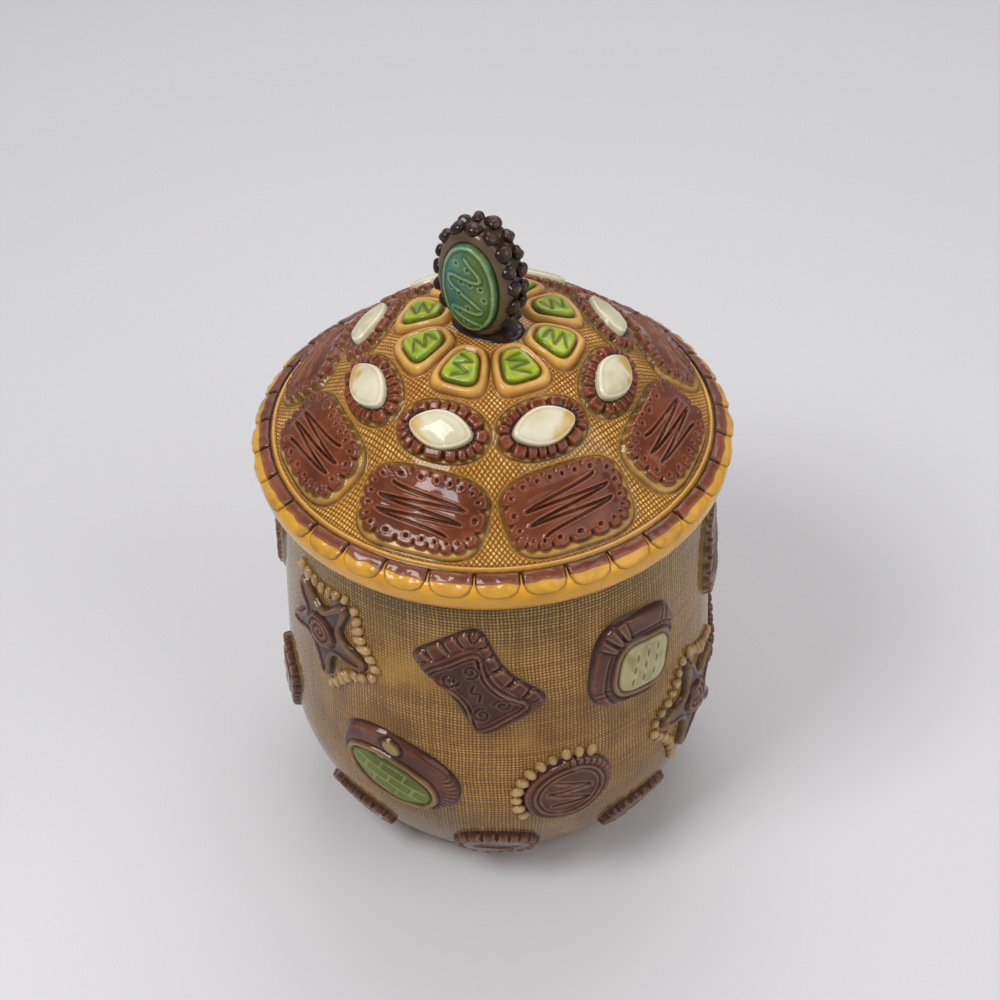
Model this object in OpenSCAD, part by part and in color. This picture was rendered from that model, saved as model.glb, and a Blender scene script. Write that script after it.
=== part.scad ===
// Glazed earthenware biscuit jar with a lift-off lid.
// Millimetres, +Z up, the foot rests on z = 0 and the jar's axis is the Z axis.
// Azimuths are in degrees from -Y, the front, towards +X.

/* [Jar] */
// Height of the jar's mouth rim, which the lid sits on
seat_z = 158; // [150:1:166]
// Outer radius of the jar at its mouth
mouth_r = 72.5; // [71:0.5:73]
// Outer radius of the jar at its belly
belly_r = 77.5; // [75:0.5:78]
// Height of the belly
belly_z = 55; // [50:1:60]
// Outer radius of the jar at its foot
foot_r = 54; // [52:0.5:58]
// Thickness of the wall
wall = 5; // [4:0.5:5]
// Thickness of the floor
floor_t = 7; // [6:0.5:9]
// Width of the foot ring
foot_ring_w = 7; // [5:0.5:9]
// Depth of the hollow inside the foot ring
foot_ring_h = 2; // [1:0.5:3]

/* [Lid] */
// Outer radius of the lid over the scallops on its rolled lip
lid_r = 82.5; // [82:0.5:85]
// Height of the dome above its own brim
dome_h = 42; // [38:1:46]
// Height of the brim above the seat
brim_h = 4; // [3.5:0.5:5]
// Thickness of the dome
lid_t = 5; // [4:0.5:5.5]
// Depth of the ring that drops inside the jar's mouth
flange_h = 8; // [5:0.5:12]
// Thickness of that ring
flange_t = 4; // [3:0.5:5]
// Gap between that ring and the inside of the mouth
flange_gap = 1; // [0.6:0.1:1.5]
// Number of scallops round the brim
scallop_count = 33; // [28:1:36]

/* [Biscuits on the lid] */
// Number of biscuits in each ring
ring_count = 8; // [8:1:8]
// Radius of the ring of long biscuits
long_ring_r = 61.5; // [61:0.5:64]
// Width of a long biscuit, round the ring
long_w = 43; // [38:0.5:44]
// Depth of a long biscuit, up the dome
long_d = 27.5; // [24:0.5:28]
// Thickness of a long biscuit
long_h = 3.2; // [2:0.1:4]
// Radius of the ring of frilled biscuits
frill_ring_r = 42; // [41.5:0.5:43]
// Width of a frilled biscuit
frill_w = 30.5; // [27:0.5:31]
// Depth of a frilled biscuit
frill_d = 19.5; // [17:0.5:20]
// Thickness of a frilled biscuit
frill_h = 2.4; // [1.5:0.1:3]
// Width of the iced drop on a frilled biscuit
drop_w = 21; // [16:0.5:22]
// Depth of that drop
drop_d = 10.5; // [8:0.5:12]
// Thickness of that drop
drop_h = 2.2; // [1:0.1:3]
// Radius of the ring of small pads round the knob
pad_ring_r = 22.5; // [22:0.5:23]
// Width of a pad at its outer end
pad_w = 22; // [19:0.5:22]
// Depth of a pad
pad_d = 19.5; // [17:0.5:20]
// Thickness of a pad
pad_h = 1.8; // [1:0.1:2.5]
// Thickness of the jelly on a pad
jelly_h = 1.8; // [1:0.1:2.5]

/* [Knob] */
// Azimuth that the knob's front face looks to
knob_az = -33; // [-60:1:60]
// How far the knob stands to the left of the jar's axis
knob_shift = 1.5; // [0:0.5:2]
// Half the width of the knob
knob_a = 14.3; // [12:0.1:15]
// Half the height of the knob
knob_b = 20.6; // [18:0.1:22]
// Thickness of the knob's biscuit
knob_t = 13; // [10:0.5:15]
// Radius of the beads on the knob's edge
knob_bead_r = 2.6; // [2:0.1:2.8]
// Number of beads in each of the knob's two rows
knob_beads = 17; // [14:1:18]

/* [Biscuits on the jar] */
// Height of the upper row
upper_z = 107; // [105:1:110]
// Height of the middle row
middle_z = 61; // [59:1:63]
// Height of the lower row
lower_z = 23; // [21:1:25]
// Azimuth of the upper row's framed biscuit nearest the front
upper_az = -6; // [-10:1:0]
// Azimuth of the middle row's round-beaded biscuit nearest the front
middle_az = 16; // [12:1:20]
// Azimuth of the lower row's biscuit nearest the front
lower_az = -3; // [-6:1:0]
// Thickness of a biscuit on the jar
body_h = 2.6; // [1.5:0.1:3]
// Thickness of the icing or jelly on it
body_icing_h = 1.2; // [0.8:0.1:1.5]
// Radius of the piped beads on the jar
pip_r = 1.9; // [1.4:0.1:2]

/* [Hidden] */
$fn = 96;

straw_glaze = [0.74, 0.55, 0.26];
olive_glaze = [0.50, 0.42, 0.22];
cocoa_glaze = [0.36, 0.19, 0.13];
cream_glaze = [0.86, 0.83, 0.74];
lime_glaze = [0.58, 0.62, 0.14];
caramel_glaze = [0.72, 0.50, 0.26];
teal_glaze = [0.36, 0.52, 0.36];
night_glaze = [0.18, 0.12, 0.12];

// A step for numerical slopes, in millimetres
dz = 0.01;
// Half the depth of the prisms that the biscuits are cut from
reach = 9;
// How many straight stretches the jar's wall and the dome have
wall_steps = 26;
dome_steps = 20;
// Heights where the jar's straight part starts and ends
wall_low = 1;
wall_high = seat_z - 1.5;
// Radius of the flat top of the dome's own formula, just outside the brim
dome_r = 82;
brim_r = 77.5;
lip_r = 4;
lip_down = 8;
lip_up = 3.8;
scallop_h = 0.8;
lip_x = lid_r - scallop_h - lip_r;
// Steps between the biscuits of one row on the jar
row_step = 360 / ring_count;
knob_z = seat_z + 66;
knob_front = 7;
// Clay foot that joins the knob to the dome: half its width and depth
knob_foot_a = 9;
knob_foot_b = 5.5;

// ---------- Profiles: a point is [radius, height], a normal points outwards ----------

// Outer radius of the jar at height z
function jar_r(z) = z < belly_z
    ? belly_r - (belly_r - foot_r) * pow((belly_z - z) / belly_z, 2)
    : belly_r - (belly_r - mouth_r) * pow((z - belly_z) / (seat_z - belly_z), 1.3);
function jar_slope(z) = (jar_r(z + dz) - jar_r(z - dz)) / (2 * dz);
function jar_normal(z) = [1, -jar_slope(z)] / norm([1, -jar_slope(z)]);
function jar_at(z, h = 0) = [jar_r(z), z] + h * jar_normal(z);

// Height of the dome at radius r
function dome_z(r) = seat_z + brim_h
    + dome_h * (1 + cos(180 * pow(r / dome_r, 1.5))) / 2;
function dome_slope(r) = (dome_z(r + dz) - dome_z(max(r - dz, 0))) / (r > dz ? 2 * dz : dz + r);
function dome_normal(r) = r < 1 ? [0, 1] : [-dome_slope(r), 1] / norm([-dome_slope(r), 1]);
function dome_at(r, h = 0) = [r, dome_z(r)] + h * dome_normal(r);

// The rolled lip, at an angle above its own middle
function lip_at(a, h = 0) = [lip_x + (lip_r + h) * cos(a),
                             seat_z + ((a > 0 ? lip_up : lip_down) + h) * sin(a)];

// n + 1 values from a to b
function span(a, b, n) = [for (i = [0 : n]) a + (b - a) * i / n];
function turned(q, t) = [q[0] * cos(t) - q[1] * sin(t), q[0] * sin(t) + q[1] * cos(t)];
function reversed(list) = [for (i = [len(list) - 1 : -1 : 0]) list[i]];

// Where the stretches of the two walls meet, which all that lies on them shares
wall_zs = span(wall_low, wall_high, wall_steps);
dome_rs = span(0, brim_r, dome_steps);

// Skin between two distances from the jar's wall, over the heights z0 to z1
module jar_skin(h0, h1, z0, z1) {
    zs = [for (z = wall_zs) if (z >= z0 && z <= z1) z];
    rotate_extrude()
        polygon(concat([for (z = zs) jar_at(z, h1)], reversed([for (z = zs) jar_at(z, h0)])));
}

// Skin between two distances from the dome, over the radii r0 to r1
module dome_skin(h0, h1, r0, r1) {
    rs = [for (r = dome_rs) if (r >= r0 && r <= r1) r];
    rotate_extrude()
        polygon(concat([for (r = rs) dome_at(r, h0)], reversed([for (r = rs) dome_at(r, h1)])));
}

// Puts a shape, drawn with X round the axis, Y upwards and Z outwards, on a wall
module on_wall(point, normal, az, turn = 0) {
    rotate([0, 0, az])
        translate([0, -point[0], point[1]])
            rotate([atan2(normal[0], normal[1]), 0, 0])
                rotate([0, 0, turn])
                    children();
}

module on_jar(z, az, turn = 0) on_wall(jar_at(z), jar_normal(z), az, turn) children();
module on_dome(r, az) on_wall(dome_at(r), dome_normal(r), az) children();

// ---------- Outlines, each centred on its own origin ----------

// Sign-keeping power, for rounded shapes between a diamond and a box
function bend(v, p) = sign(v) * pow(abs(v), p);
// A rounded outline: power 1 is an ellipse, and less is boxier
function round_outline(a, b, p, n) = [
    for (i = [0 : n - 1]) let (t = 360 * (i + 0.5) / n) [a * bend(cos(t), p), b * bend(sin(t), p)]
];
// A pad that is wider at the bottom than at the top
function wedge_outline(w, d, n) = [
    for (q = round_outline(w / 2, d / 2, 0.62, n)) [q[0] * (0.76 - 0.24 * q[1] / (d / 2)), q[1]]
];
// A five-pointed star with soft points
function star_outline(tip, dent) = [
    for (i = [0 : 4], s = [-1, 0, 1, 2])
        let (t = 90 + 72 * i + (s == 2 ? 36 : star_soften * s),
             r = s == 2 ? dent : (s == 0 ? tip : star_shoulder_r))
            [r * cos(t), r * sin(t)]
];
// A rounded square whose upper side bows far inwards and whose lower side bows a little
function waisted_outline(a, b, upper, lower, n) = [
    for (q = round_outline(a, b, 0.45, n))
        [q[0], q[1] * (1 - (q[1] > 0 ? upper : lower) * (1 - pow(q[0] / a, 2)))]
];
// The same outline with its middle at another place
function moved(points, place) = [for (q = points) q + place];

module prism(points) {
    linear_extrude(height = 2 * reach, center = true)
        polygon(points);
}

// Biscuits of one row on the jar, every fourth place of the row or every one
module jar_row(z, az, turn, points, h0, h1, every = 4) {
    intersection() {
        jar_skin(h0, h1, z - 32, z + 32);
        union() {
            for (i = [0 : every : ring_count - 1])
                on_jar(z, az + row_step * i, turn)
                    prism(points);
        }
    }
}

// Biscuits of one ring on the lid
module lid_ring(r, points, h0, h1, r0, r1) {
    intersection() {
        dome_skin(h0, h1, r0, r1);
        union() {
            for (i = [0 : ring_count - 1])
                on_dome(r, row_step * (i + 0.5))
                    prism(points);
        }
    }
}

// ---------- Jar ----------

module jar_body() {
    outer = [for (z = wall_zs) jar_at(z)];
    inner = [for (z = span(wall_high, floor_t, wall_steps / 2)) jar_at(z, -wall)];
    foot_in = foot_r - 1 - foot_ring_w;
    rotate_extrude()
        polygon(concat(
            [[0, foot_ring_h], [foot_in, foot_ring_h], [foot_in, 0], [jar_r(0) - 0.8, 0]],
            outer,
            [[mouth_r - 1.5, seat_z], [mouth_r - wall + 1.5, seat_z]],
            inner,
            [[0, floor_t]]));
}

module jar_shell() {
    color(olive_glaze)
        jar_body();
}

star_tip = 20.5;
star_dent = 7.6;
// The soft point of an arm: the radius of its two shoulders and their turn from its middle
star_shoulder_r = 19.3;
star_soften = 8;
// Stars stand in both rows: their height, azimuth, turn, and the side that the beads are on
star_rows = [
    [upper_z + 5, upper_az - row_step - 0.7, 38, 1],
    [middle_z + 2, middle_az + row_step, -61, -1]
];

module jar_star_biscuits() {
    color(cocoa_glaze)
        for (row = star_rows)
            jar_row(row[0], row[1], row[2], star_outline(star_tip, star_dent), 0, body_h);
}

// The straight stretch of the wall that height z lies on: its lower end and its run
function stretch_end(i) = jar_at(wall_zs[i]);
function stretch_index(z) = floor((z - wall_low) / (wall_high - wall_low) * wall_steps);
function stretch_run(i) = stretch_end(i + 1) - stretch_end(i);

// One piped bead, flat-backed, at x round the axis and y up from the middle of its biscuit
module pip(z, az, turn, x, y) {
    place = turned([x, y], turn);
    pip_z = z + place[1] * jar_normal(z)[0];
    i = stretch_index(pip_z);
    run = stretch_run(i);
    foot = stretch_end(i) + run * (pip_z - stretch_end(i)[1]) / run[1];
    on_wall(foot, [run[1], -run[0]] / norm(run), az + place[0] / foot[0] * 180 / PI)
        intersection() {
            sphere(r = pip_r, $fn = 36);
            translate([-pip_r, -pip_r, 0])
                cube(2 * pip_r);
        }
}

// Seven beads in a shallow curve across a dent of the star, drawn with the dent on the X axis:
// each pair's angle from the dent and its distance from the star's middle
dent_pips = concat(
    [[18.5, 0]],
    [for (q = [[11.5, 19.3], [21, 21.3], [30, 23.6]], m = [1, -1])
        q[1] * [cos(q[0]), m * sin(q[0])]]);
function star_pip_places(side) = [
    for (t = [54, -18, -90], q = dent_pips)
        let (p = turned(q, t))
            [side * p[0], p[1]]
];

module jar_pips(z, az, turn, places) {
    for (i = [0 : 4 : ring_count - 1], q = places)
        pip(z, az + row_step * i, turn, q[0], q[1]);
}

module jar_star_pips() {
    color(cream_glaze)
        for (row = star_rows)
            jar_pips(row[0], row[1], row[2], star_pip_places(row[3]));
}

module jar_waisted_biscuits() {
    color(cocoa_glaze)
        jar_row(upper_z + 5.5, upper_az + 0.5, -56, waisted_outline(21.3, 17.3, 0.34, 0.1, 24),
                0, body_h);
}

square_az = upper_az + row_step - 2.5;

module jar_square_biscuits() {
    color(cocoa_glaze)
        jar_row(upper_z + 1.5, square_az, -9, round_outline(17, 18.5, 0.6, 24), 0, body_h);
}

module jar_square_icings() {
    color(cream_glaze)
        jar_row(upper_z + 1.5, square_az, -9,
                moved(round_outline(10.6, 10.3, 0.55, 20), [3.4, -3.7]), body_h, body_h + body_icing_h);
}

module jar_long_biscuits() {
    color(cocoa_glaze)
        jar_row(upper_z + 6, upper_az + 2 * row_step, 70, round_outline(20, 13.5, 0.55, 24),
                0, body_h);
}

oval_z = middle_z + 2.5;
oval_az = middle_az - row_step + 0.5;
oval_turn = -21;

module jar_oval_biscuits() {
    color(cocoa_glaze)
        jar_row(oval_z, oval_az, oval_turn, round_outline(23, 14.7, 0.9, 24), 0, body_h);
}

module jar_oval_jellies() {
    color(lime_glaze)
        jar_row(oval_z, oval_az, oval_turn,
                moved(round_outline(16.3, 8.2, 1, 22), [-0.5, -4.3]), body_h, body_h + body_icing_h);
}

module jar_round_biscuits() {
    color(cocoa_glaze)
        jar_row(middle_z - 4, middle_az + 0.5, 30, round_outline(16.2, 14.3, 0.95, 24), 0, body_h);
}

// Where the beads stand round the upper left edge of a round biscuit
round_pip_places = [
    for (i = [0 : 10]) let (t = 34 + 15 * i) [18.7 * cos(t), 16.8 * sin(t)]
];

module jar_round_pips() {
    color(cream_glaze)
        jar_pips(middle_z - 4, middle_az + 0.5, 30, round_pip_places);
}

module jar_dotted_biscuits() {
    color(cocoa_glaze)
        jar_row(middle_z - 6, middle_az - 2 * row_step - 8, 62, round_outline(19, 12.5, 0.7, 24),
                0, body_h);
}

module jar_foot_biscuits() {
    color(cocoa_glaze)
        jar_row(lower_z, lower_az, 0, round_outline(15.5, 11, 0.9, 22), 0, body_h - 0.4, 1);
}

// ---------- Lid ----------

flange_r = mouth_r - wall - flange_gap;
flange_in = flange_r - flange_t;

lip_angles = [for (a = [66 : -21 : -144]) a];

module lid_shell() {
    hollow = [for (r = span(flange_in, 0, dome_steps / 2)) [r, dome_z(r + 2.5) - lid_t]];
    top = [for (r = dome_rs) dome_at(r)];
    color(straw_glaze)
        rotate_extrude()
            polygon(concat(
                top,
                [for (a = lip_angles) lip_at(a)],
                [[lip_x - lip_r + 0.8, seat_z], [flange_in, seat_z]],
                hollow));
}

// The ring that drops into the mouth, thrown by itself and luted under the lid
module lid_flange() {
    color(straw_glaze)
        rotate_extrude()
            polygon([[flange_in, seat_z], [flange_in, seat_z - flange_h + 1],
                     [flange_in + 1, seat_z - flange_h], [flange_r - 1, seat_z - flange_h],
                     [flange_r, seat_z - flange_h + 1], [flange_r, seat_z]]);
}

// Skin over the brim and the upper part of the lip, which the scallops are cut from
module brim_skin(h0, h1) {
    rs = [for (r = dome_rs) if (r > 72) r];
    as = [for (a = lip_angles) if (a > 0) a];
    rotate_extrude()
        polygon(concat(
            [for (r = rs) dome_at(r, h1)], [for (a = as) lip_at(a, h1)],
            reversed([for (a = as) lip_at(a, h0)]), reversed([for (r = rs) dome_at(r, h0)])));
}

// Scallops stand side by side from the brim down the outside of the lip. Their middle is on
// the lip's shoulder, which looks half upwards and half outwards.
scallop_at = [lip_x + 1.3, seat_z + 2.85];
scallop_a = 7.1;
scallop_b = 4.3;

module lid_scallops() {
    color(cocoa_glaze)
        intersection() {
            brim_skin(0, scallop_h);
            union() {
                for (i = [0 : scallop_count - 1])
                    on_wall(scallop_at, [1, 1], 360 * i / scallop_count)
                        prism(round_outline(scallop_a, scallop_b, 0.6, 16));
            }
        }
}

module lid_long_biscuits() {
    color(cocoa_glaze)
        lid_ring(long_ring_r, round_outline(long_w / 2, long_d / 2, 0.55, 28), 0, long_h, 46, 76);
}

module lid_frilled_biscuits() {
    color(cocoa_glaze)
        lid_ring(frill_ring_r, round_outline(frill_w / 2, frill_d / 2, 0.85, 24),
                 0, frill_h, 28, 56);
}

module lid_iced_drops() {
    color(cream_glaze)
        lid_ring(frill_ring_r, round_outline(drop_w / 2, drop_d / 2, 1, 22),
                 frill_h, frill_h + drop_h, 30, 54);
}

module lid_pads() {
    color(caramel_glaze)
        lid_ring(pad_ring_r, wedge_outline(pad_w, pad_d, 20), 0, pad_h, 10, 38);
}

module lid_jellies() {
    color(lime_glaze)
        lid_ring(pad_ring_r, wedge_outline(pad_w - 7.3, pad_d - 6.5, 20),
                 pad_h, pad_h + jelly_h, 12, 36);
}

// ---------- Knob: a thick biscuit on its edge, drawn with its front towards -Y ----------

module in_knob_place() {
    translate([-knob_shift, 0, knob_z])
        rotate([0, 0, knob_az])
            children();
}

// What the knob stands on, with the dome's own top
dome_floor = seat_z + 20;

module dome_solid() {
    rotate_extrude()
        polygon(concat(
            [[0, dome_floor], [30, dome_floor]],
            reversed([for (r = dome_rs) if (r < 36) dome_at(r)])));
}

module knob_disc(points, y0, y1) {
    translate([0, y1, 0])
        rotate([90, 0, 0])
            linear_extrude(height = y1 - y0)
                polygon(points);
}

// The biscuit's outline has two straight stretches for each bead of a row
knob_outline = round_outline(knob_a, knob_b, 0.95, 2 * knob_beads);

module knob_biscuit() {
    color(night_glaze)
        difference() {
            in_knob_place() {
                knob_disc(knob_outline, -knob_front, knob_t - knob_front);
                translate([0, knob_t / 2 - knob_front, -knob_b - 3])
                    linear_extrude(height = 8)
                        polygon(round_outline(knob_foot_a, knob_foot_b, 0.8, 24));
            }
            dome_solid();
        }
}

// A domed oval icing: a thin slice of a big ball, cut to an oval
icing_a = 10.2;
icing_b = 16.6;
icing_h = 3.6;
icing_ball = (pow(icing_b + 2, 2) + pow(icing_h, 2)) / (2 * icing_h);

module knob_icing(y0, side) {
    intersection() {
        knob_disc(round_outline(icing_a, icing_b, 1, 32),
                  side > 0 ? y0 : y0 - 6, side > 0 ? y0 + 6 : y0);
        translate([0, y0 + side * (icing_h - icing_ball), 0])
            sphere(r = icing_ball, $fn = 160);
    }
}

module knob_icing_front() {
    color(teal_glaze)
        in_knob_place()
            knob_icing(-knob_front, -1);
}

module knob_icing_back() {
    color(teal_glaze)
        in_knob_place()
            knob_icing(knob_t - knob_front, 1);
}

// A row of beads, flat-backed, on every second stretch of the knob's edge above the dome
module knob_bead_row(y, first) {
    in_knob_place()
        for (i = [first : 2 : 2 * knob_beads - 1])
            let (p = knob_outline[i],
                 q = knob_outline[(i + 1) % (2 * knob_beads)],
                 m = (p + q) / 2)
                if (m[1] > -0.78 * knob_b)
                    translate([m[0], y, m[1]])
                        rotate([0, atan2(q[1] - p[1], p[0] - q[0]), 0])
                            intersection() {
                                sphere(r = knob_bead_r, $fn = 36);
                                translate([-knob_bead_r, -knob_bead_r, 0])
                                    cube(2 * knob_bead_r);
                            }
}

module knob_beads_front() {
    color(night_glaze)
        knob_bead_row(-knob_front + knob_bead_r + 0.4, 0);
}

module knob_beads_back() {
    color(night_glaze)
        knob_bead_row(knob_t - knob_front - knob_bead_r - 0.4, 1);
}

jar_shell();
jar_star_biscuits();
jar_star_pips();
jar_waisted_biscuits();
jar_square_biscuits();
jar_square_icings();
jar_long_biscuits();
jar_oval_biscuits();
jar_oval_jellies();
jar_round_biscuits();
jar_round_pips();
jar_dotted_biscuits();
jar_foot_biscuits();
lid_shell();
lid_flange();
lid_scallops();
lid_long_biscuits();
lid_frilled_biscuits();
lid_iced_drops();
lid_pads();
lid_jellies();
knob_biscuit();
knob_icing_front();
knob_icing_back();
knob_beads_front();
knob_beads_back();
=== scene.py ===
"""A glazed earthenware biscuit jar with a lift-off lid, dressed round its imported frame.

Raised biscuits lie on a woven ground. Each one is modelled as clay: a skin of relief over its
outline, laid on the jar's wall or on the lid's dome, with masks that say where the glaze gathers
and where it thins. Sizes are in millimetres until a mesh is made, which is in metres. Azimuths
are in degrees from -Y, the front, towards +X.
"""

import logging
import math
from dataclasses import dataclass, field
from enum import Enum
from functools import cache

import bpy
import numpy as np
from mathutils import Matrix, Vector


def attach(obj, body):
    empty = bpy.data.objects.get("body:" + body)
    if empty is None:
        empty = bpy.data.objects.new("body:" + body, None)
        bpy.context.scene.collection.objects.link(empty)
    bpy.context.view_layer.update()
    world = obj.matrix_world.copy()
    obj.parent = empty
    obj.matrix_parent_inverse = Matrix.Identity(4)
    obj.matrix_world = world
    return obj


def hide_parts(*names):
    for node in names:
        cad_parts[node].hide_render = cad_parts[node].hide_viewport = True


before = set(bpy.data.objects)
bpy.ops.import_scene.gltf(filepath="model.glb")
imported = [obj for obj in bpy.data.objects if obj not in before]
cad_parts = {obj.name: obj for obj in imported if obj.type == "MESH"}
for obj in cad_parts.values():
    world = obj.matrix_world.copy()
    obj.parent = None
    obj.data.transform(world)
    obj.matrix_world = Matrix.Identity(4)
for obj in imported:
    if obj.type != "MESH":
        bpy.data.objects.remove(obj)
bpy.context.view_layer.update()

Array = np.ndarray
Colour = tuple[float, float, float, float]
Dressing = tuple[object, object, object, float]
Faces = list[tuple[int, ...]]
Pair = tuple[float, float]
Screen = tuple[int, int, int]
Triple = tuple[float, float, float]

log = logging.getLogger("biscuit_jar")

MM = 0.001
SLOPE_STEP = 0.01
DRIFT_WAVES = 5
RING_COUNT = 8
ROW_STEP = 360.0 / RING_COUNT


# ---------------------------------------------------------------- numbers


def tint(*screen: int) -> Colour:
    """Turns a screen's red, green and blue, from 0 to 255, into a shader's linear colour."""
    shares = [value / 255.0 for value in screen]
    linear = [share / 12.92 if share <= 0.04045 else ((share + 0.055) / 1.055) ** 2.4
              for share in shares]
    return (linear[0], linear[1], linear[2], 1.0)


def smoothstep(low: float, high: float, value: Array) -> Array:
    """Rises smoothly from 0 at low to 1 at high."""
    share = np.clip((value - low) / (high - low), 0.0, 1.0)
    return share * share * (3.0 - 2.0 * share)


def bell(distance: Array, width: float) -> Array:
    """Falls from 1 at no distance to about a third at the width."""
    return np.exp(-((distance / width) ** 2))


def rolled(depth: Array, radius: float) -> Array:
    """Rises from 0 at an edge to 1 past the radius, as a quarter round does."""
    share = np.clip(depth / radius, 0.0, 1.0)
    return np.sqrt(1.0 - (1.0 - share) ** 2)


def bend(value: Array, power: float) -> Array:
    """Raises to a power and keeps the sign, for rounded shapes between a diamond and a box."""
    return np.sign(value) * np.abs(value) ** power


def turned(points: Array, degrees: float) -> Array:
    """Turns flat points counter-clockwise about their origin."""
    angle = math.radians(degrees)
    cosine, sine = math.cos(angle), math.sin(angle)
    return points @ np.array([[cosine, sine], [-sine, cosine]])


def drift(points: Array, wave: float, rng: np.random.Generator) -> Array:
    """Slow unevenness of hand-made clay.

    Args:
        points: where it is wanted, in millimetres.
        wave: its usual wavelength.
        rng: the source of its directions and phases.

    Returns:
        A value of about -1 to 1 at each point.
    """
    total = np.zeros(len(points))
    for _ in range(DRIFT_WAVES):
        way = rng.normal(size=points.shape[1])
        way /= np.linalg.norm(way) * wave * rng.uniform(0.7, 1.5)
        total += np.sin(2.0 * math.pi * (points @ way) + rng.uniform(0.0, 2.0 * math.pi))
    return total / math.sqrt(DRIFT_WAVES)


# ---------------------------------------------------------------- drawn lines


class Stroke:
    """A line drawn in the clay."""

    def __init__(self, points: tuple[Pair, ...] | Array, soften: float = 0.0) -> None:
        """Takes its corners in order, and rounds each one off over that length."""
        line = np.array(points, float)
        if soften > 0.0:
            share = np.linspace(0.0, 1.0, 7)[:, None]
            made = [line[:1]]
            for before, corner, after in zip(line[:-2], line[1:-1], line[2:]):
                near, far = before - corner, after - corner
                near *= min(soften / np.hypot(*near), 0.45)
                far *= min(soften / np.hypot(*far), 0.45)
                made.append(corner + (1.0 - share) ** 2 * near + share ** 2 * far)
            line = np.concatenate(made + [line[-1:]])
        self.points = line

    @classmethod
    def zigzag(cls, strokes: int, reach: float, fall: float, back: float, tilt: float = 0.0,
               loose: float = 0.7) -> "Stroke":
        """A line that runs to and fro, from the upper left downwards.

        Args:
            strokes: how many times it crosses.
            reach: half its width.
            fall: how far it falls on its way to the right.
            back: how far it climbs on its way back.
            tilt: how much the whole climbs for each millimetre to the right.
            loose: how round it turns, from corners at 0 to loops at 1.

        Returns:
            The stroke, centred on the origin.
        """
        ends = reach * np.array([1 if i % 2 else -1 for i in range(strokes + 1)], float)
        ends[[0, -1]] *= 0.75
        drops = [back if i % 2 else -fall for i in range(strokes)]
        heights = np.concatenate([[0.0], np.cumsum(drops)])
        heights -= (heights.max() + heights.min()) / 2.0
        share = np.linspace(0.0, strokes, 10 * strokes + 1)
        whole = np.minimum(share.astype(int), strokes - 1)
        part = share - whole
        eased = (1.0 - loose) * part + loose * (1.0 - np.cos(math.pi * part)) / 2.0
        across = ends[whole] + (ends[whole + 1] - ends[whole]) * eased
        up = heights[whole] + (heights[whole + 1] - heights[whole]) * part
        return cls(np.stack([across, up + tilt * across], axis=1))

    @classmethod
    def spiral(cls, centre: Pair, radius: float, turns: float, start: float = 0.0,
               hand: int = 1) -> "Stroke":
        """A curl that winds out from its centre.

        Args:
            centre: its middle.
            radius: its size at the outer end.
            turns: how many times it goes round.
            start: the direction of its inner end, in degrees.
            hand: 1 to wind counter-clockwise, -1 to wind clockwise.

        Returns:
            The stroke.
        """
        share = np.linspace(0.08, 1.0, int(14 * turns) + 2)
        angle = math.radians(start) + hand * share * turns * 2.0 * math.pi
        reach = radius * share
        return cls(np.stack([centre[0] + reach * np.cos(angle),
                             centre[1] + reach * np.sin(angle)], axis=1))

    def distance(self, points: Array) -> Array:
        """How far each point is from the line."""
        best = np.full(len(points), np.inf)
        for start, end in zip(self.points[:-1], self.points[1:]):
            run = end - start
            share = np.clip(((points - start) @ run) / (run @ run), 0.0, 1.0)
            away = points - start - share[:, None] * run
            best = np.minimum(best, np.hypot(away[:, 0], away[:, 1]))
        return best


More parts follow.
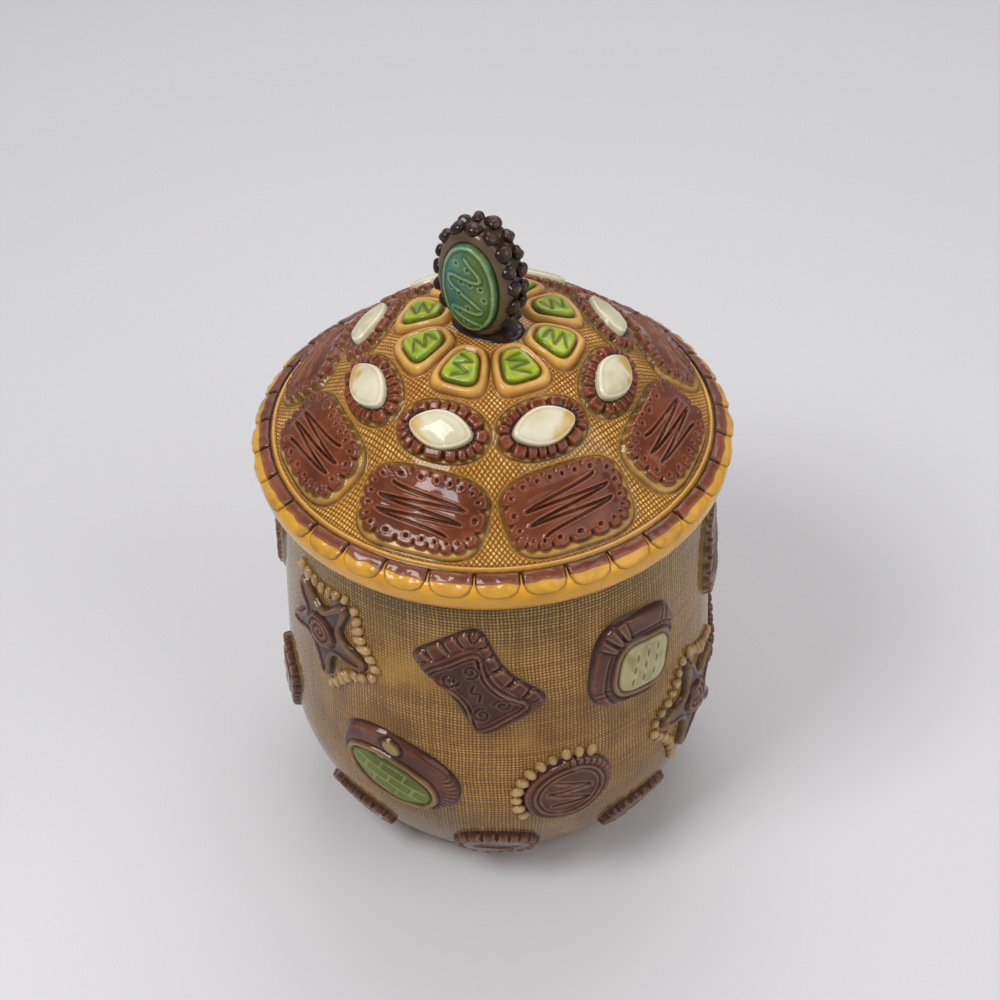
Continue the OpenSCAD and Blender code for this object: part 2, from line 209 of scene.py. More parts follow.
class Outline:
    """A closed line, counter-clockwise."""

    POINTS = 144

    def __init__(self, points: Array) -> None:
        """Takes the points in order, the first one not repeated at the end."""
        self.points = np.array(points, float)
        self.ahead = np.roll(self.points, -1, axis=0) - self.points
        steps = np.hypot(self.ahead[:, 0], self.ahead[:, 1])
        self.starts = np.concatenate([[0.0], np.cumsum(steps)])
        self.length = float(self.starts[-1])

    @classmethod
    def rounded(cls, half_width: float, half_height: float, power: float = 1.0) -> "Outline":
        """An ellipse at power 1, and boxier below it."""
        angle = np.linspace(0.0, 2.0 * math.pi, 721)[:-1]
        points = np.stack([half_width * bend(np.cos(angle), power),
                           half_height * bend(np.sin(angle), power)], axis=1)
        return cls(points).resampled(cls.POINTS)

    @classmethod
    def wedge(cls, width: float, depth: float) -> "Outline":
        """A rounded pad that is wider at the bottom than at the top."""
        points = cls.rounded(width / 2.0, depth / 2.0, 0.62).points
        points[:, 0] *= 0.76 - 0.24 * points[:, 1] / (depth / 2.0)
        return cls(points).resampled(cls.POINTS)

    @classmethod
    def waisted(cls, half_width: float, half_height: float, upper: float,
                lower: float) -> "Outline":
        """A rounded square whose upper and lower sides bow inwards by those shares."""
        points = cls.rounded(half_width, half_height, 0.45).points
        bow = np.where(points[:, 1] > 0.0, upper, lower)
        points[:, 1] *= 1.0 - bow * (1.0 - (points[:, 0] / half_width) ** 2)
        return cls(points).resampled(cls.POINTS)

    @classmethod
    def star(cls, tip: float, dent: float, shoulder: float, soften: float) -> "Outline":
        """A five-pointed star with soft points.

        Args:
            tip: radius of a point.
            dent: radius of the dent between two points.
            shoulder: radius of the two shoulders of a point.
            soften: their turn from the middle of the point, in degrees.

        Returns:
            The outline, its first point upwards.
        """
        corners = []
        for arm in range(5):
            for turn, radius in ((-soften, shoulder), (0.0, tip), (soften, shoulder), (36.0, dent)):
                angle = math.radians(90.0 + 72.0 * arm + turn)
                corners.append((radius * math.cos(angle), radius * math.sin(angle)))
        return cls(np.array(corners)).softened(2).resampled(200)

    def softened(self, times: int) -> "Outline":
        """The outline with its corners cut off that many times."""
        points = self.points
        for _ in range(times):
            after = np.roll(points, -1, axis=0)
            points = np.stack([points * 0.75 + after * 0.25, points * 0.25 + after * 0.75],
                              axis=1).reshape(-1, 2)
        return Outline(points)

    def resampled(self, count: int) -> "Outline":
        """The outline with that many points at equal distances."""
        places = np.linspace(0.0, self.length, count + 1)[:-1]
        closed = np.concatenate([self.points, self.points[:1]])
        return Outline(np.stack([np.interp(places, self.starts, closed[:, 0]),
                                 np.interp(places, self.starts, closed[:, 1])], axis=1))

    def grown(self, by: float) -> "Outline":
        """The outline moved outwards by a distance, or inwards by a negative one."""
        along = np.roll(self.points, -1, axis=0) - np.roll(self.points, 1, axis=0)
        along /= np.hypot(along[:, 0], along[:, 1])[:, None]
        return Outline(self.points + by * np.stack([along[:, 1], -along[:, 0]], axis=1))

    def moved(self, across: float, up: float) -> "Outline":
        """The outline at another place."""
        return Outline(self.points + np.array([across, up]))

    def mirrored(self) -> "Outline":
        """The outline seen from its other side."""
        return Outline((self.points * np.array([-1.0, 1.0]))[::-1])

    def nearest(self, points: Array) -> tuple[Array, Array]:
        """Where points lie with regard to the line.

        Args:
            points: flat points.

        Returns:
            How deep each lies inside, negative outside, and the place of its nearest point on
            the line as a share of the whole length.
        """
        best = np.full(len(points), np.inf)
        place = np.zeros(len(points))
        inside = np.zeros(len(points), bool)
        across, up = points[:, 0], points[:, 1]
        for i, (start, run) in enumerate(zip(self.points, self.ahead)):
            size = run @ run
            share = np.clip(((across - start[0]) * run[0] + (up - start[1]) * run[1]) / size,
                            0.0, 1.0)
            away = np.hypot(across - start[0] - share * run[0], up - start[1] - share * run[1])
            closer = away < best
            best = np.where(closer, away, best)
            place = np.where(closer, self.starts[i] + share * math.sqrt(size), place)
            end = start + run
            if start[1] != end[1]:
                spans = (start[1] > up) != (end[1] > up)
                crossing = start[0] + (up - start[1]) / run[1] * run[0]
                inside ^= spans & (across < crossing)
        return np.where(inside, best, -best), place / self.length


# ---------------------------------------------------------------- grounds and seats


class Ground:
    """A surface that stuck-on pieces lie on."""

    def gap(self, points: Array) -> Array:
        """How far points stand clear of the surface, measured in one direction."""
        raise NotImplementedError

    def gradient(self, points: Array) -> Array:
        """The direction in which that gap grows fastest, at each point."""
        raise NotImplementedError

    def normals(self, points: Array) -> Array:
        """Unit vectors that point out of the surface."""
        found = self.gradient(points)
        return found / np.linalg.norm(found, axis=1)[:, None]


@dataclass(frozen=True)
class Seat:
    """A place on a ground, with a flat frame of its own to draw in."""

    LAY_STEPS = 6

    ground: Ground
    origin: Array
    across: Array
    up: Array
    out: Array

    @classmethod
    def on_wall(cls, ground: Ground, radius: float, height: float, normal: Pair,
                azimuth: float, turn: float = 0.0) -> "Seat":
        """A seat at an azimuth of a surface of revolution.

        Args:
            ground: that surface.
            radius, height: the place on its profile.
            normal: the profile's normal there, as radius and height.
            azimuth: in degrees.
            turn: how far the frame is turned counter-clockwise, seen from outside.

        Returns:
            The seat.
        """
        angle, twist = math.radians(azimuth), math.radians(turn)
        outwards = np.array([math.sin(angle), -math.cos(angle), 0.0])
        tangent = np.array([math.cos(angle), math.sin(angle), 0.0])
        upwards = np.array([0.0, 0.0, 1.0])
        out = normal[0] * outwards + normal[1] * upwards
        up = normal[0] * upwards - normal[1] * outwards
        return cls(ground, outwards * radius + upwards * height,
                   math.cos(twist) * tangent + math.sin(twist) * up,
                   math.cos(twist) * up - math.sin(twist) * tangent, out)

    def lay(self, flat: Array) -> tuple[Array, Array]:
        """Puts drawn points on the ground, straight down from the frame.

        Args:
            flat: points in the frame.

        Returns:
            The points on the ground and its normals there.
        """
        points = self.origin + flat[:, :1] * self.across + flat[:, 1:] * self.up
        for _ in range(self.LAY_STEPS):
            slope = self.ground.gradient(points) @ self.out
            points = points - (self.ground.gap(points) / slope)[:, None] * self.out
        return points, self.ground.normals(points)

    def flattened(self, points: Array) -> Array:
        """The frame's own coordinates of points in space."""
        away = points - self.origin
        return np.stack([away @ self.across, away @ self.up], axis=1)


@dataclass(frozen=True)
class JarWall(Ground):
    """The outside of the jar, turned about its axis."""

    seat_z: float = 158.0
    mouth_r: float = 72.5
    belly_r: float = 77.5
    belly_z: float = 55.0
    foot_r: float = 54.0

    def radius(self, height: Array) -> Array:
        """Outer radius at a height."""
        below = np.clip(self.belly_z - height, 0.0, None) / self.belly_z
        above = np.clip(height - self.belly_z, 0.0, None) / (self.seat_z - self.belly_z)
        return (self.belly_r - (self.belly_r - self.foot_r) * below ** 2
                - (self.belly_r - self.mouth_r) * above ** 1.3)

    def slope(self, height: Array) -> Array:
        """How fast the radius grows with height."""
        rise = self.radius(height + SLOPE_STEP) - self.radius(height - SLOPE_STEP)
        return rise / (2.0 * SLOPE_STEP)

    def gap(self, points: Array) -> Array:
        """How far points stand out from the wall, level."""
        return np.hypot(points[:, 0], points[:, 1]) - self.radius(points[:, 2])

    def gradient(self, points: Array) -> Array:
        """The way straight out, leaning with the wall."""
        reach = np.hypot(points[:, 0], points[:, 1])
        return np.stack([points[:, 0] / reach, points[:, 1] / reach,
                         -self.slope(points[:, 2])], axis=1)

    def seat(self, height: float, azimuth: float, turn: float) -> Seat:
        """A seat on the wall."""
        slope = float(self.slope(np.array(height)))
        size = math.hypot(1.0, slope)
        return Seat.on_wall(self, float(self.radius(np.array(height))), height,
                            (1.0 / size, -slope / size), azimuth, turn)


@dataclass(frozen=True)
class LidDome(Ground):
    """The top of the lid, turned about its axis."""

    seat_z: float = 158.0
    brim_h: float = 4.0
    dome_h: float = 42.0
    dome_r: float = 82.0

    def height(self, radius: Array) -> Array:
        """Height at a radius."""
        share = np.clip(radius / self.dome_r, 0.0, 1.0) ** 1.5
        return self.seat_z + self.brim_h + self.dome_h * (1.0 + np.cos(math.pi * share)) / 2.0

    def slope(self, radius: Array) -> Array:
        """How fast the height grows with the radius, which is below nothing."""
        inner, outer = np.clip(radius - SLOPE_STEP, 0.0, None), radius + SLOPE_STEP
        return (self.height(outer) - self.height(inner)) / (outer - inner)

    def gap(self, points: Array) -> Array:
        """How far points stand above the dome."""
        return points[:, 2] - self.height(np.hypot(points[:, 0], points[:, 1]))

    def gradient(self, points: Array) -> Array:
        """The way straight up, leaning with the dome."""
        reach = np.maximum(np.hypot(points[:, 0], points[:, 1]), 1e-6)
        slope = self.slope(reach)
        return np.stack([-slope * points[:, 0] / reach, -slope * points[:, 1] / reach,
                         np.ones(len(points))], axis=1)

    def seat(self, radius: float, azimuth: float) -> Seat:
        """A seat on the dome."""
        slope = float(self.slope(np.array(radius)))
        size = math.hypot(1.0, slope)
        return Seat.on_wall(self, radius, float(self.height(np.array(radius))),
                            (-slope / size, 1.0 / size), azimuth)


@dataclass(frozen=True)
class Slab(Ground):
    """A flat face in space."""

    point: Array
    out: Array

    def gap(self, points: Array) -> Array:
        """How far points stand clear of the face."""
        return (points - self.point) @ self.out

    def gradient(self, points: Array) -> Array:
        """The face's own normal, everywhere."""
        return np.tile(self.out, (len(points), 1))


# ---------------------------------------------------------------- meshes


@dataclass
class Patch:
    """A closed bit of mesh, in millimetres, with a mask value for each of its points."""

    points: Array
    faces: Faces
    pool: Array
    thin: Array
    part: Array


class Piece:
    """A named piece of the jar, gathered from patches."""

    MASKS = ("pool", "thin", "part")

    def __init__(self, name: str) -> None:
        """Starts with no patch."""
        self.name = name
        self.patches: list[Patch] = []

    def add(self, patch: Patch) -> None:
        """Adds a patch."""
        self.patches.append(patch)

    def make(self, body: str, nodes: tuple[str, ...], glaze: "Glaze") -> bpy.types.Object:
        """Makes the mesh, glazes it and puts it in the frame.

        Args:
            body: the body that it rides on.
            nodes: the CAD nodes that it stands for.
            glaze: its finish.

        Returns:
            The Blender object.
        """
        points, faces, start = [], [], 0
        for patch in self.patches:
            points.append(patch.points)
            faces.extend(tuple(corner + start for corner in face) for face in patch.faces)
            start += len(patch.points)
        mesh = bpy.data.meshes.new(self.name)
        mesh.from_pydata((np.concatenate(points) * MM).tolist(), [], faces)
        for mask in self.MASKS:
            layer = mesh.attributes.new(mask, "FLOAT", "POINT")
            values = np.concatenate([getattr(patch, mask) for patch in self.patches])
            layer.data.foreach_set("value", np.clip(values, 0.0, 1.0).astype(np.float32))
        mesh.polygons.foreach_set("use_smooth", [True] * len(mesh.polygons))
        mesh.materials.append(glaze.material())
        mesh.update()
        made = bpy.data.objects.new(self.name, mesh)
        bpy.context.scene.collection.objects.link(made)
        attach(made, body)
        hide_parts(*nodes)
        log.info("%s: %d points for %s", self.name, start, ", ".join(nodes))
        return made


def capped_faces(rings: int, spokes: int) -> Faces:
    """The faces over a first point, that many rings of points and a last point, in that order."""
    last = 1 + rings * spokes
    faces: Faces = []
    for i in range(spokes):
        after = (i + 1) % spokes
        faces.append((0, 1 + i, 1 + after))
        for near in range(1, last - spokes, spokes):
            far = near + spokes
            faces.append((near + i, far + i, far + after, near + after))
        faces.append((last, last - spokes + after, last - spokes + i))
    return faces


def revolved(profile: list[Pair], spokes: int) -> tuple[Array, Faces]:
    """Turns a profile about the axis, on which it starts and ends.

    Args:
        profile: radius and height in order, upwards outside and downwards inside.
        spokes: how many points each ring has.

    Returns:
        The points, and the faces with their outer side out.
    """
    angle = np.linspace(0.0, 2.0 * math.pi, spokes, endpoint=False)
    around = np.stack([np.sin(angle), -np.cos(angle), np.zeros(spokes)], axis=1)
    upwards = np.array([[0.0, 0.0, 1.0]])
    rings = [radius * around + height * upwards for radius, height in profile[1:-1]]
    points = np.concatenate([profile[0][1] * upwards, *rings, profile[-1][1] * upwards])
    return points, [(face[0],) + face[:0:-1] for face in capped_faces(len(rings), spokes)]


def lump(centre: Array, axes: Array, sizes: Triple, rng: np.random.Generator, rows: int,
         columns: int, uneven: float) -> Patch:
    """A rounded blob of clay.

    Args:
        centre: its middle.
        axes: three unit vectors, the last one along its poles.
        sizes: its half size along each.
        rng: the source of its unevenness.
        rows, columns: how finely it is divided.
        uneven: how far it departs from an even blob, as a share of its size.

    Returns:
        The patch.
    """
    ball = [np.array([[0.0, 0.0, 1.0]])]
    angle = np.linspace(0.0, 2.0 * math.pi, columns, endpoint=False)
    for row in range(1, rows):
        fall = math.pi * row / rows
        ball.append(np.stack([math.sin(fall) * np.cos(angle), math.sin(fall) * np.sin(angle),
                              np.full(columns, math.cos(fall))], axis=1))
    ball.append(np.array([[0.0, 0.0, -1.0]]))
    unit = np.concatenate(ball)
    swell = 1.0 + uneven * drift(unit, 1.6, rng)
    points = centre + (unit * swell[:, None] * np.array(sizes)) @ axes
    high = unit[:, 2]
    return Patch(points, capped_faces(rows - 1, columns), smoothstep(0.45, -0.35, high),
                 0.5 * smoothstep(0.55, 1.0, high), np.zeros(len(unit)))


class Clay:
    """Relief being modelled over a set of points."""

    def __init__(self, flat: Array, seed: int) -> None:
        """Starts as bare ground under those points of the seat's frame."""
        self.flat = flat
        self.rng = np.random.default_rng(seed)
        self.height, self.pool, self.thin, self.part = np.zeros((4, len(flat)))

    def inside(self, outline: Outline) -> Array:
        """How deep each point lies inside an outline, negative outside."""
        return outline.nearest(self.flat)[0]

    def reach(self, place: Pair | Array = (0.0, 0.0)) -> Array:
        """How far each point is from a place."""
        return np.hypot(*(self.flat - np.array(place)).T)

    def drift(self, wave: float) -> Array:
        """Unevenness at each point, with that wavelength."""
        return drift(self.flat, wave, self.rng)

    def gather(self, mask: Array) -> None:
        """Lets the glaze gather there too."""
        self.pool = np.maximum(self.pool, mask)

    def wear(self, mask: Array) -> None:
        """Lets the glaze thin there too."""
        self.thin = np.maximum(self.thin, mask)

    def film(self, depth: Array) -> None:
        """Lets glaze creep out past an edge and gather in the crease along it."""
        self.height += 0.14 * smoothstep(-0.7, -0.1, depth)
        self.height -= 0.12 * smoothstep(-0.7, -1.1, depth)
        self.gather(bell(depth + 0.3, 0.42))

    def plate(self, depth: Array, height: float, radius: float, pale: float = 0.5) -> Array:
        """Lays a plate with a rolled edge on what is there.

        Args:
            depth: how deep each point lies inside the plate.
            height: the plate's thickness.
            radius: the radius of its edge.
            pale: how much the glaze thins along that edge.

        Returns:
            1 on the plate and 0 off it.
        """
        on = smoothstep(-0.1, 0.25, depth)
        self.height += height * rolled(depth, radius)
        self.pool = np.maximum(self.pool * (1.0 - on), 0.8 * bell(depth + 0.15, 0.35))
        self.thin = np.maximum(self.thin * (1.0 - on), pale * bell(depth - radius * 0.7, 0.35))
        return on

    def groove(self, distance: Array, width: float, deep: float, lip: float = 0.0,
               within: Array | float = 1.0) -> None:
        """Cuts a groove, whose clay may stand up in a lip on both sides.

        Args:
            distance: how far each point is from the groove's line.
            width: its half width.
            deep: its depth.
            lip: the height of its lips.
            within: where it is cut, as a share.
        """
        cut = bell(distance, width) * within
        raised = bell(distance - 2.1 * width, 0.75 * width) * within
        self.height += lip * raised - deep * cut
        self.gather(cut)
        self.wear(0.9 * raised * (lip > 0.0))

    def draw(self, line: Stroke, width: float, deep: float, lip: float = 0.0,
             within: Array | float = 1.0) -> None:
        """Cuts a groove along a drawn line."""
        self.groove(line.distance(self.flat), width, deep, lip, within)

    def ridge(self, distance: Array, width: float, height: float, pale: float = 0.8) -> None:
        """Lays a thin roll of clay along a line."""
        roll = bell(distance, width)
        self.height += height * roll
        self.wear(pale * roll)
        self.gather(0.7 * bell(distance - 2.0 * width, 0.7 * width))

    def pit(self, distance: Array, radius: float, deep: float,
            within: Array | float = 1.0) -> None:
        """Pricks a round hole, with a slight rim."""
        hole = (1.0 - smoothstep(radius * 0.55, radius * 1.15, distance)) * within
        rim = bell(distance - radius * 1.55, radius * 0.4) * within
        self.height += 0.16 * rim - deep * hole
        self.gather(hole)
        self.thin = np.maximum(self.thin * (1.0 - hole), 0.8 * rim)

    def uneven(self, wave: float, size: float) -> None:
        """Lets the height wander, as pressed clay does, where there is a piece at all."""
        self.height += size * self.drift(wave) * smoothstep(0.3, 1.0, self.height)


@dataclass(frozen=True)
class Frill:
    """A pinched edge: rounded lobes, a cut between each two and perhaps a prick in each."""

    lobes: int
    stand: float
    cut: float
    cut_width: float = 0.36
    deep: float = 1.1
    prick: float = 0.0
    prick_r: float = 0.55
    wander: float = 0.2
    crown: float = 0.2

    def press(self, clay: Clay, outline: Outline, height: float, radius: float,
              side: Array | float = 1.0) -> Array:
        """Lays a plate with this edge.

        Args:
            clay: the relief to work on.
            outline: the line that the lobes stand out from.
            height: the plate's thickness.
            radius: the radius of its edge.
            side: where the edge is pinched, as a share.

        Returns:
            How deep each point lies inside the outline.
        """
        depth, place = outline.nearest(clay.flat)
        phase = clay.rng.uniform(0.0, 1.0)
        count = place * self.lobes + phase
        count = count + self.wander * (np.sin(2.0 * math.pi * (3.0 * place + phase))
                                       - math.sin(2.0 * math.pi * phase))
        saw = np.abs(np.mod(count, 1.0) - 0.5)
        lobe_length = outline.length / self.lobes
        edge = depth + side * self.stand * (np.cos(math.pi * saw) ** 0.7 - 0.45)
        on = clay.plate(edge, height, radius)
        clay.part = clay.part * (1.0 - on)
        near = (1.0 - smoothstep(self.cut - 0.7, self.cut, depth)) * on * side
        clay.height += self.crown * np.cos(math.pi * saw) * near
        width = self.cut_width * (1.35 - 0.5 * np.clip(depth / self.cut, 0.0, 1.0))
        clay.groove((0.5 - saw) * lobe_length, width, self.deep, 0.12, near)
        if self.prick > 0.0:
            away = np.hypot(saw * lobe_length, depth - self.prick)
            clay.pit(away, self.prick_r, 0.9, on)
        return depth


@dataclass(frozen=True)
class Biscuit:
    """A kind of stuck-on piece: an outline, and how its skin is modelled."""

    apron: float = 1.1
    step: float = 0.45
    sink: float = 0.8

    def outline(self) -> Outline:
        """The line round the whole piece."""
        raise NotImplementedError

    def model(self, clay: Clay) -> None:
        """Models the skin."""
        raise NotImplementedError

    def begin(self, clay: Clay) -> Array:
        """Lets glaze creep out round the piece, and says how deep inside it each point lies."""
        depth = clay.inside(self.outline())
        clay.film(depth)
        return depth

    def patch(self, seat: Seat, seed: int, mirrored: bool = False) -> Patch:
        """One such piece.

        Args:
            seat: where it goes.
            seed: what makes it differ from its like.
            mirrored: whether it is modelled the other way round.

        Returns:
            The patch, closed by a skirt and a back inside what it lies on.
        """
        edge = self.outline().grown(self.apron)
        spokes = max(24, round(edge.length / self.step))
        if mirrored:
            edge = edge.mirrored()
        rim = edge.resampled(spokes).points
        middle = rim.mean(axis=0)
        reach = np.hypot(*(rim - middle).T)
        rings = max(6, round(float(reach.mean()) / self.step))
        shares = np.arange(1, rings + 1) / rings
        flat = middle + shares[:, None, None] * (rim - middle)[None]
        flat = np.concatenate([middle[None], flat.reshape(-1, 2)])
        clay = Clay(flat * np.array([-1.0, 1.0]) if mirrored else flat, seed)
        self.model(clay)
        base, normals = seat.lay(flat)
        points = base + clay.height[:, None] * normals
        under = base[-spokes:] - self.sink * normals[-spokes:]
        back = (base[0] - self.sink * normals[0])[None]
        points = np.concatenate([points, under, back])
        extra = (0, spokes + 1)
        return Patch(points, capped_faces(rings + 1, spokes), np.pad(clay.pool, extra),
                     np.pad(clay.thin, extra), np.pad(clay.part, extra, mode="edge"))


@dataclass(frozen=True)
class RoundedBiscuit(Biscuit):
    """A biscuit whose outline is an ellipse at power 1, and boxier below it."""

    half_width: float = 15.0
    half_height: float = 10.0
    power: float = 1.0
    thick: float = 2.6

    def outline(self) -> Outline:
        """The line round the whole piece."""
        return self.inset(0.0, 0.0)

    def inset(self, across: float, up: float) -> Outline:
        """The outline with its half width and half height less by so much."""
        return Outline.rounded(self.half_width - across, self.half_height - up, self.power)


@dataclass(frozen=True)
class Icing(Biscuit):
    """Icing or jelly in another biscuit's well, from the well's floor up to its own top."""

    floor: float = 1.3
    top: float = 3.6
    apron: float = 0.0
    sink: float = -0.9

    def fill(self, clay: Clay, rim: float, rim_r: float, dome: float, dome_r: float) -> Array:
        """Lays the icing on the well's floor.

        Args:
            clay: the relief to work on.
            rim, dome: how much of its height its rolled rim and its dome take up, as shares.
            rim_r, dome_r: how far from the edge each of them goes on rising.

        Returns:
            How deep each point lies inside the icing.
        """
        depth = clay.inside(self.outline())
        rise = self.top - self.floor
        clay.height += self.floor + rim * rise * rolled(depth, rim_r)
        clay.height += dome * rise * rolled(depth, dome_r)
        return depth


# ---------------------------------------------------------------- biscuits on the lid


@dataclass(frozen=True)
class LongBiscuit(RoundedBiscuit):
    """A long chocolate biscuit with a pinched edge and a zigzag drawn on it, on a tan base."""

    half_width: float = 21.5
    half_height: float = 13.75
    power: float = 0.55
    thick: float = 3.2
    lobes: int = 21
    step: float = 0.48

    def model(self, clay: Clay) -> None:
        """Models the base, the pinched top and the zigzag."""
        base = self.begin(clay)
        slab = 0.42 * self.thick
        clay.plate(base, slab, 1.0, 0.3)
        clay.part += 1.0
        shift = clay.rng.uniform((-1.1, 0.6), (1.1, 1.2))
        frill = Frill(self.lobes, stand=1.4, cut=2.2, prick=2.7, prick_r=0.7, wander=0.36,
                      crown=0.1)
        top = self.inset(1.4, 1.3).moved(*shift)
        depth = frill.press(clay, top, self.thick - slab, 1.2)
        clay.height += 0.45 * smoothstep(3.4, 7.5, depth)
        line = Stroke.zigzag(5, 0.64 * self.half_width, 0.42 * self.half_height,
                             0.08 * self.half_height, clay.rng.uniform(-0.02, 0.1))
        clay.groove(line.distance(clay.flat - 0.5 * shift), 0.38, 0.8, 0.4)
        clay.uneven(14.0, 0.2)


@dataclass(frozen=True)
class FrilledBiscuit(RoundedBiscuit):
    """A small oval biscuit with a deeply pinched edge."""

    half_width: float = 15.25
    half_height: float = 9.75
    power: float = 0.9
    thick: float = 2.4

    def outline(self) -> Outline:
        """The line round its lobes."""
        return self.inset(-0.4, -0.3)

    def model(self, clay: Clay) -> None:
        """Models the lobes, each crowned between two cuts."""
        self.begin(clay)
        clay.part += 0.9
        frill = Frill(17, stand=1.5, cut=4.0, cut_width=0.4, wander=0.4, crown=0.25)
        depth = frill.press(clay, self.inset(0.7, 0.7), self.thick, 1.6)
        clay.height -= 0.6 * smoothstep(2.4, 3.8, depth)
        clay.gather(smoothstep(2.6, 3.8, depth))
        clay.uneven(9.0, 0.14)


@dataclass(frozen=True)
class IcedDrop(Icing):
    """A pointed oval of cream icing with a thin rolled rim."""

    half_width: float = 10.6
    half_height: float = 6.5
    floor: float = 1.5
    top: float = 4.6
    apron: float = 0.1
    step: float = 0.4
    sink: float = -1.0

    def outline(self) -> Outline:
        """A lemon shape."""
        points = Outline.rounded(self.half_width, self.half_height).points
        points[:, 1] *= 1.0 - 0.26 * (points[:, 0] / self.half_width) ** 2
        return Outline(points).resampled(Outline.POINTS)

    def model(self, clay: Clay) -> None:
        """Models the crown, the rim and the amber stain at one end."""
        depth = self.fill(clay, 0.6, 1.2, 0.4, 6.2)
        clay.ridge(depth - 0.8, 0.36, 0.2, 0.9)
        clay.pool = 0.55 * bell(depth, 0.55) + 0.3 * bell(depth - 1.6, 0.4)
        side = 1.0 if clay.rng.uniform() < 0.5 else -1.0
        end = clay.flat[:, 0] * side - 0.9 * clay.flat[:, 1]
        clay.part = smoothstep(3.0, 8.0, end + 1.6 * clay.drift(5.0))
        clay.uneven(8.0, 0.1)


@dataclass(frozen=True)
class Pad(Biscuit):
    """A tan pad, dished in the middle for its jelly."""

    width: float = 22.0
    depth: float = 19.5
    thick: float = 1.8

    def outline(self) -> Outline:
        """The pad's outline."""
        return Outline.wedge(self.width, self.depth)

    def model(self, clay: Clay) -> None:
        """Models the pad, its dish and the groove round the jelly."""
        depth = self.begin(clay)
        clay.plate(depth, self.thick, 1.7, 0.35)
        jelly = clay.inside(Outline.wedge(self.width - 7.3, self.depth - 6.5))
        clay.height += 0.5 * bell(jelly + 1.6, 1.0) - 0.6 * smoothstep(-0.9, 0.3, jelly)
        clay.gather(smoothstep(-0.8, -0.1, jelly))
        clay.wear(0.5 * bell(jelly + 1.6, 0.7))
        clay.part = smoothstep(0.6, 1.0, 0.5 + 0.5 * clay.drift(9.0))
        clay.uneven(8.0, 0.12)


@dataclass(frozen=True)
class Jelly(Icing):
    """A lime jelly with a wave drawn in it."""

    width: float = 14.7
    depth: float = 13.0
    floor: float = 0.9
    top: float = 3.6
    apron: float = 0.1
    step: float = 0.36
    sink: float = -0.7

    def outline(self) -> Outline:
        """The jelly's outline."""
        return Outline.wedge(self.width, self.depth)

    def model(self, clay: Clay) -> None:
        """Models the crown and the wave."""
        depth = self.fill(clay, 0.62, 1.2, 0.38, 6.5)
        clay.pool = bell(depth, 0.85)
        clay.thin = 0.45 * bell(depth - 1.7, 0.6)
        wave = Stroke.zigzag(4, clay.rng.uniform(2.4, 3.0), 2.05, -2.05,
                             clay.rng.uniform(-0.1, 0.35), 0.3)
        spun = turned(clay.flat, clay.rng.uniform(-10.0, 10.0))
        clay.groove(wave.distance(spun + np.array([0.0, 0.3])), 0.62, 0.6)
        clay.part = smoothstep(-0.4, 0.9, clay.drift(8.0))
        clay.uneven(7.0, 0.1)


# ---------------------------------------------------------------- biscuits on the jar


@dataclass(frozen=True)
class StarBiscuit(Biscuit):
    """A star with sunk arms, a curl on its boss, and cream bars along its piped sides."""

    tip: float = 20.5
    dent: float = 7.6
    shoulder: float = 19.3
    soften: float = 8.0
    thick: float = 2.6
    boss_r: float = 7.0
    piped_from: float = -129.0
    piped_to: float = 93.0
    piped_r: float = 7.25

    def outline(self) -> Outline:
        """The star's outline."""
        return Outline.star(self.tip, self.dent, self.shoulder, self.soften)

    def model(self, clay: Clay) -> None:
        """Models the arms, the boss with its curl and the cream bars."""
        depth = self.begin(clay)
        clay.plate(depth, 0.9 * self.thick, 0.8, 0.6)
        reach = clay.reach()
        boss = self.boss_r - reach
        sunk = smoothstep(1.5, 2.3, depth) * smoothstep(0.1, -0.8, boss)
        clay.height -= 0.6 * sunk
        clay.thin = np.maximum(clay.thin, 0.5 * bell(depth - 1.5, 0.4)) * (1.0 - sunk)
        clay.gather(0.7 * sunk)
        clay.groove(boss, 0.45, 0.7)
        clay.height += 0.22 * self.thick * rolled(boss, 1.2)
        curl = Stroke.spiral((0.0, 0.0), self.boss_r - 1.3, 2.4, 40.0)
        clay.draw(curl, 0.38, 0.65, 0.22, smoothstep(0.0, 0.8, boss))
        across, up = clay.flat.T
        bearing = np.degrees(np.arctan2(up, across))
        piped = smoothstep(self.piped_from - 3.0, self.piped_from + 3.0, bearing)
        piped = piped * smoothstep(self.piped_to + 3.0, self.piped_to - 3.0, bearing)
        band = 0.6 * smoothstep(-0.1, 0.15, depth) * smoothstep(0.7, 0.4, depth)
        clay.part = band * piped * smoothstep(self.piped_r - 0.75, self.piped_r + 0.75, reach)
        clay.uneven(10.0, 0.14)


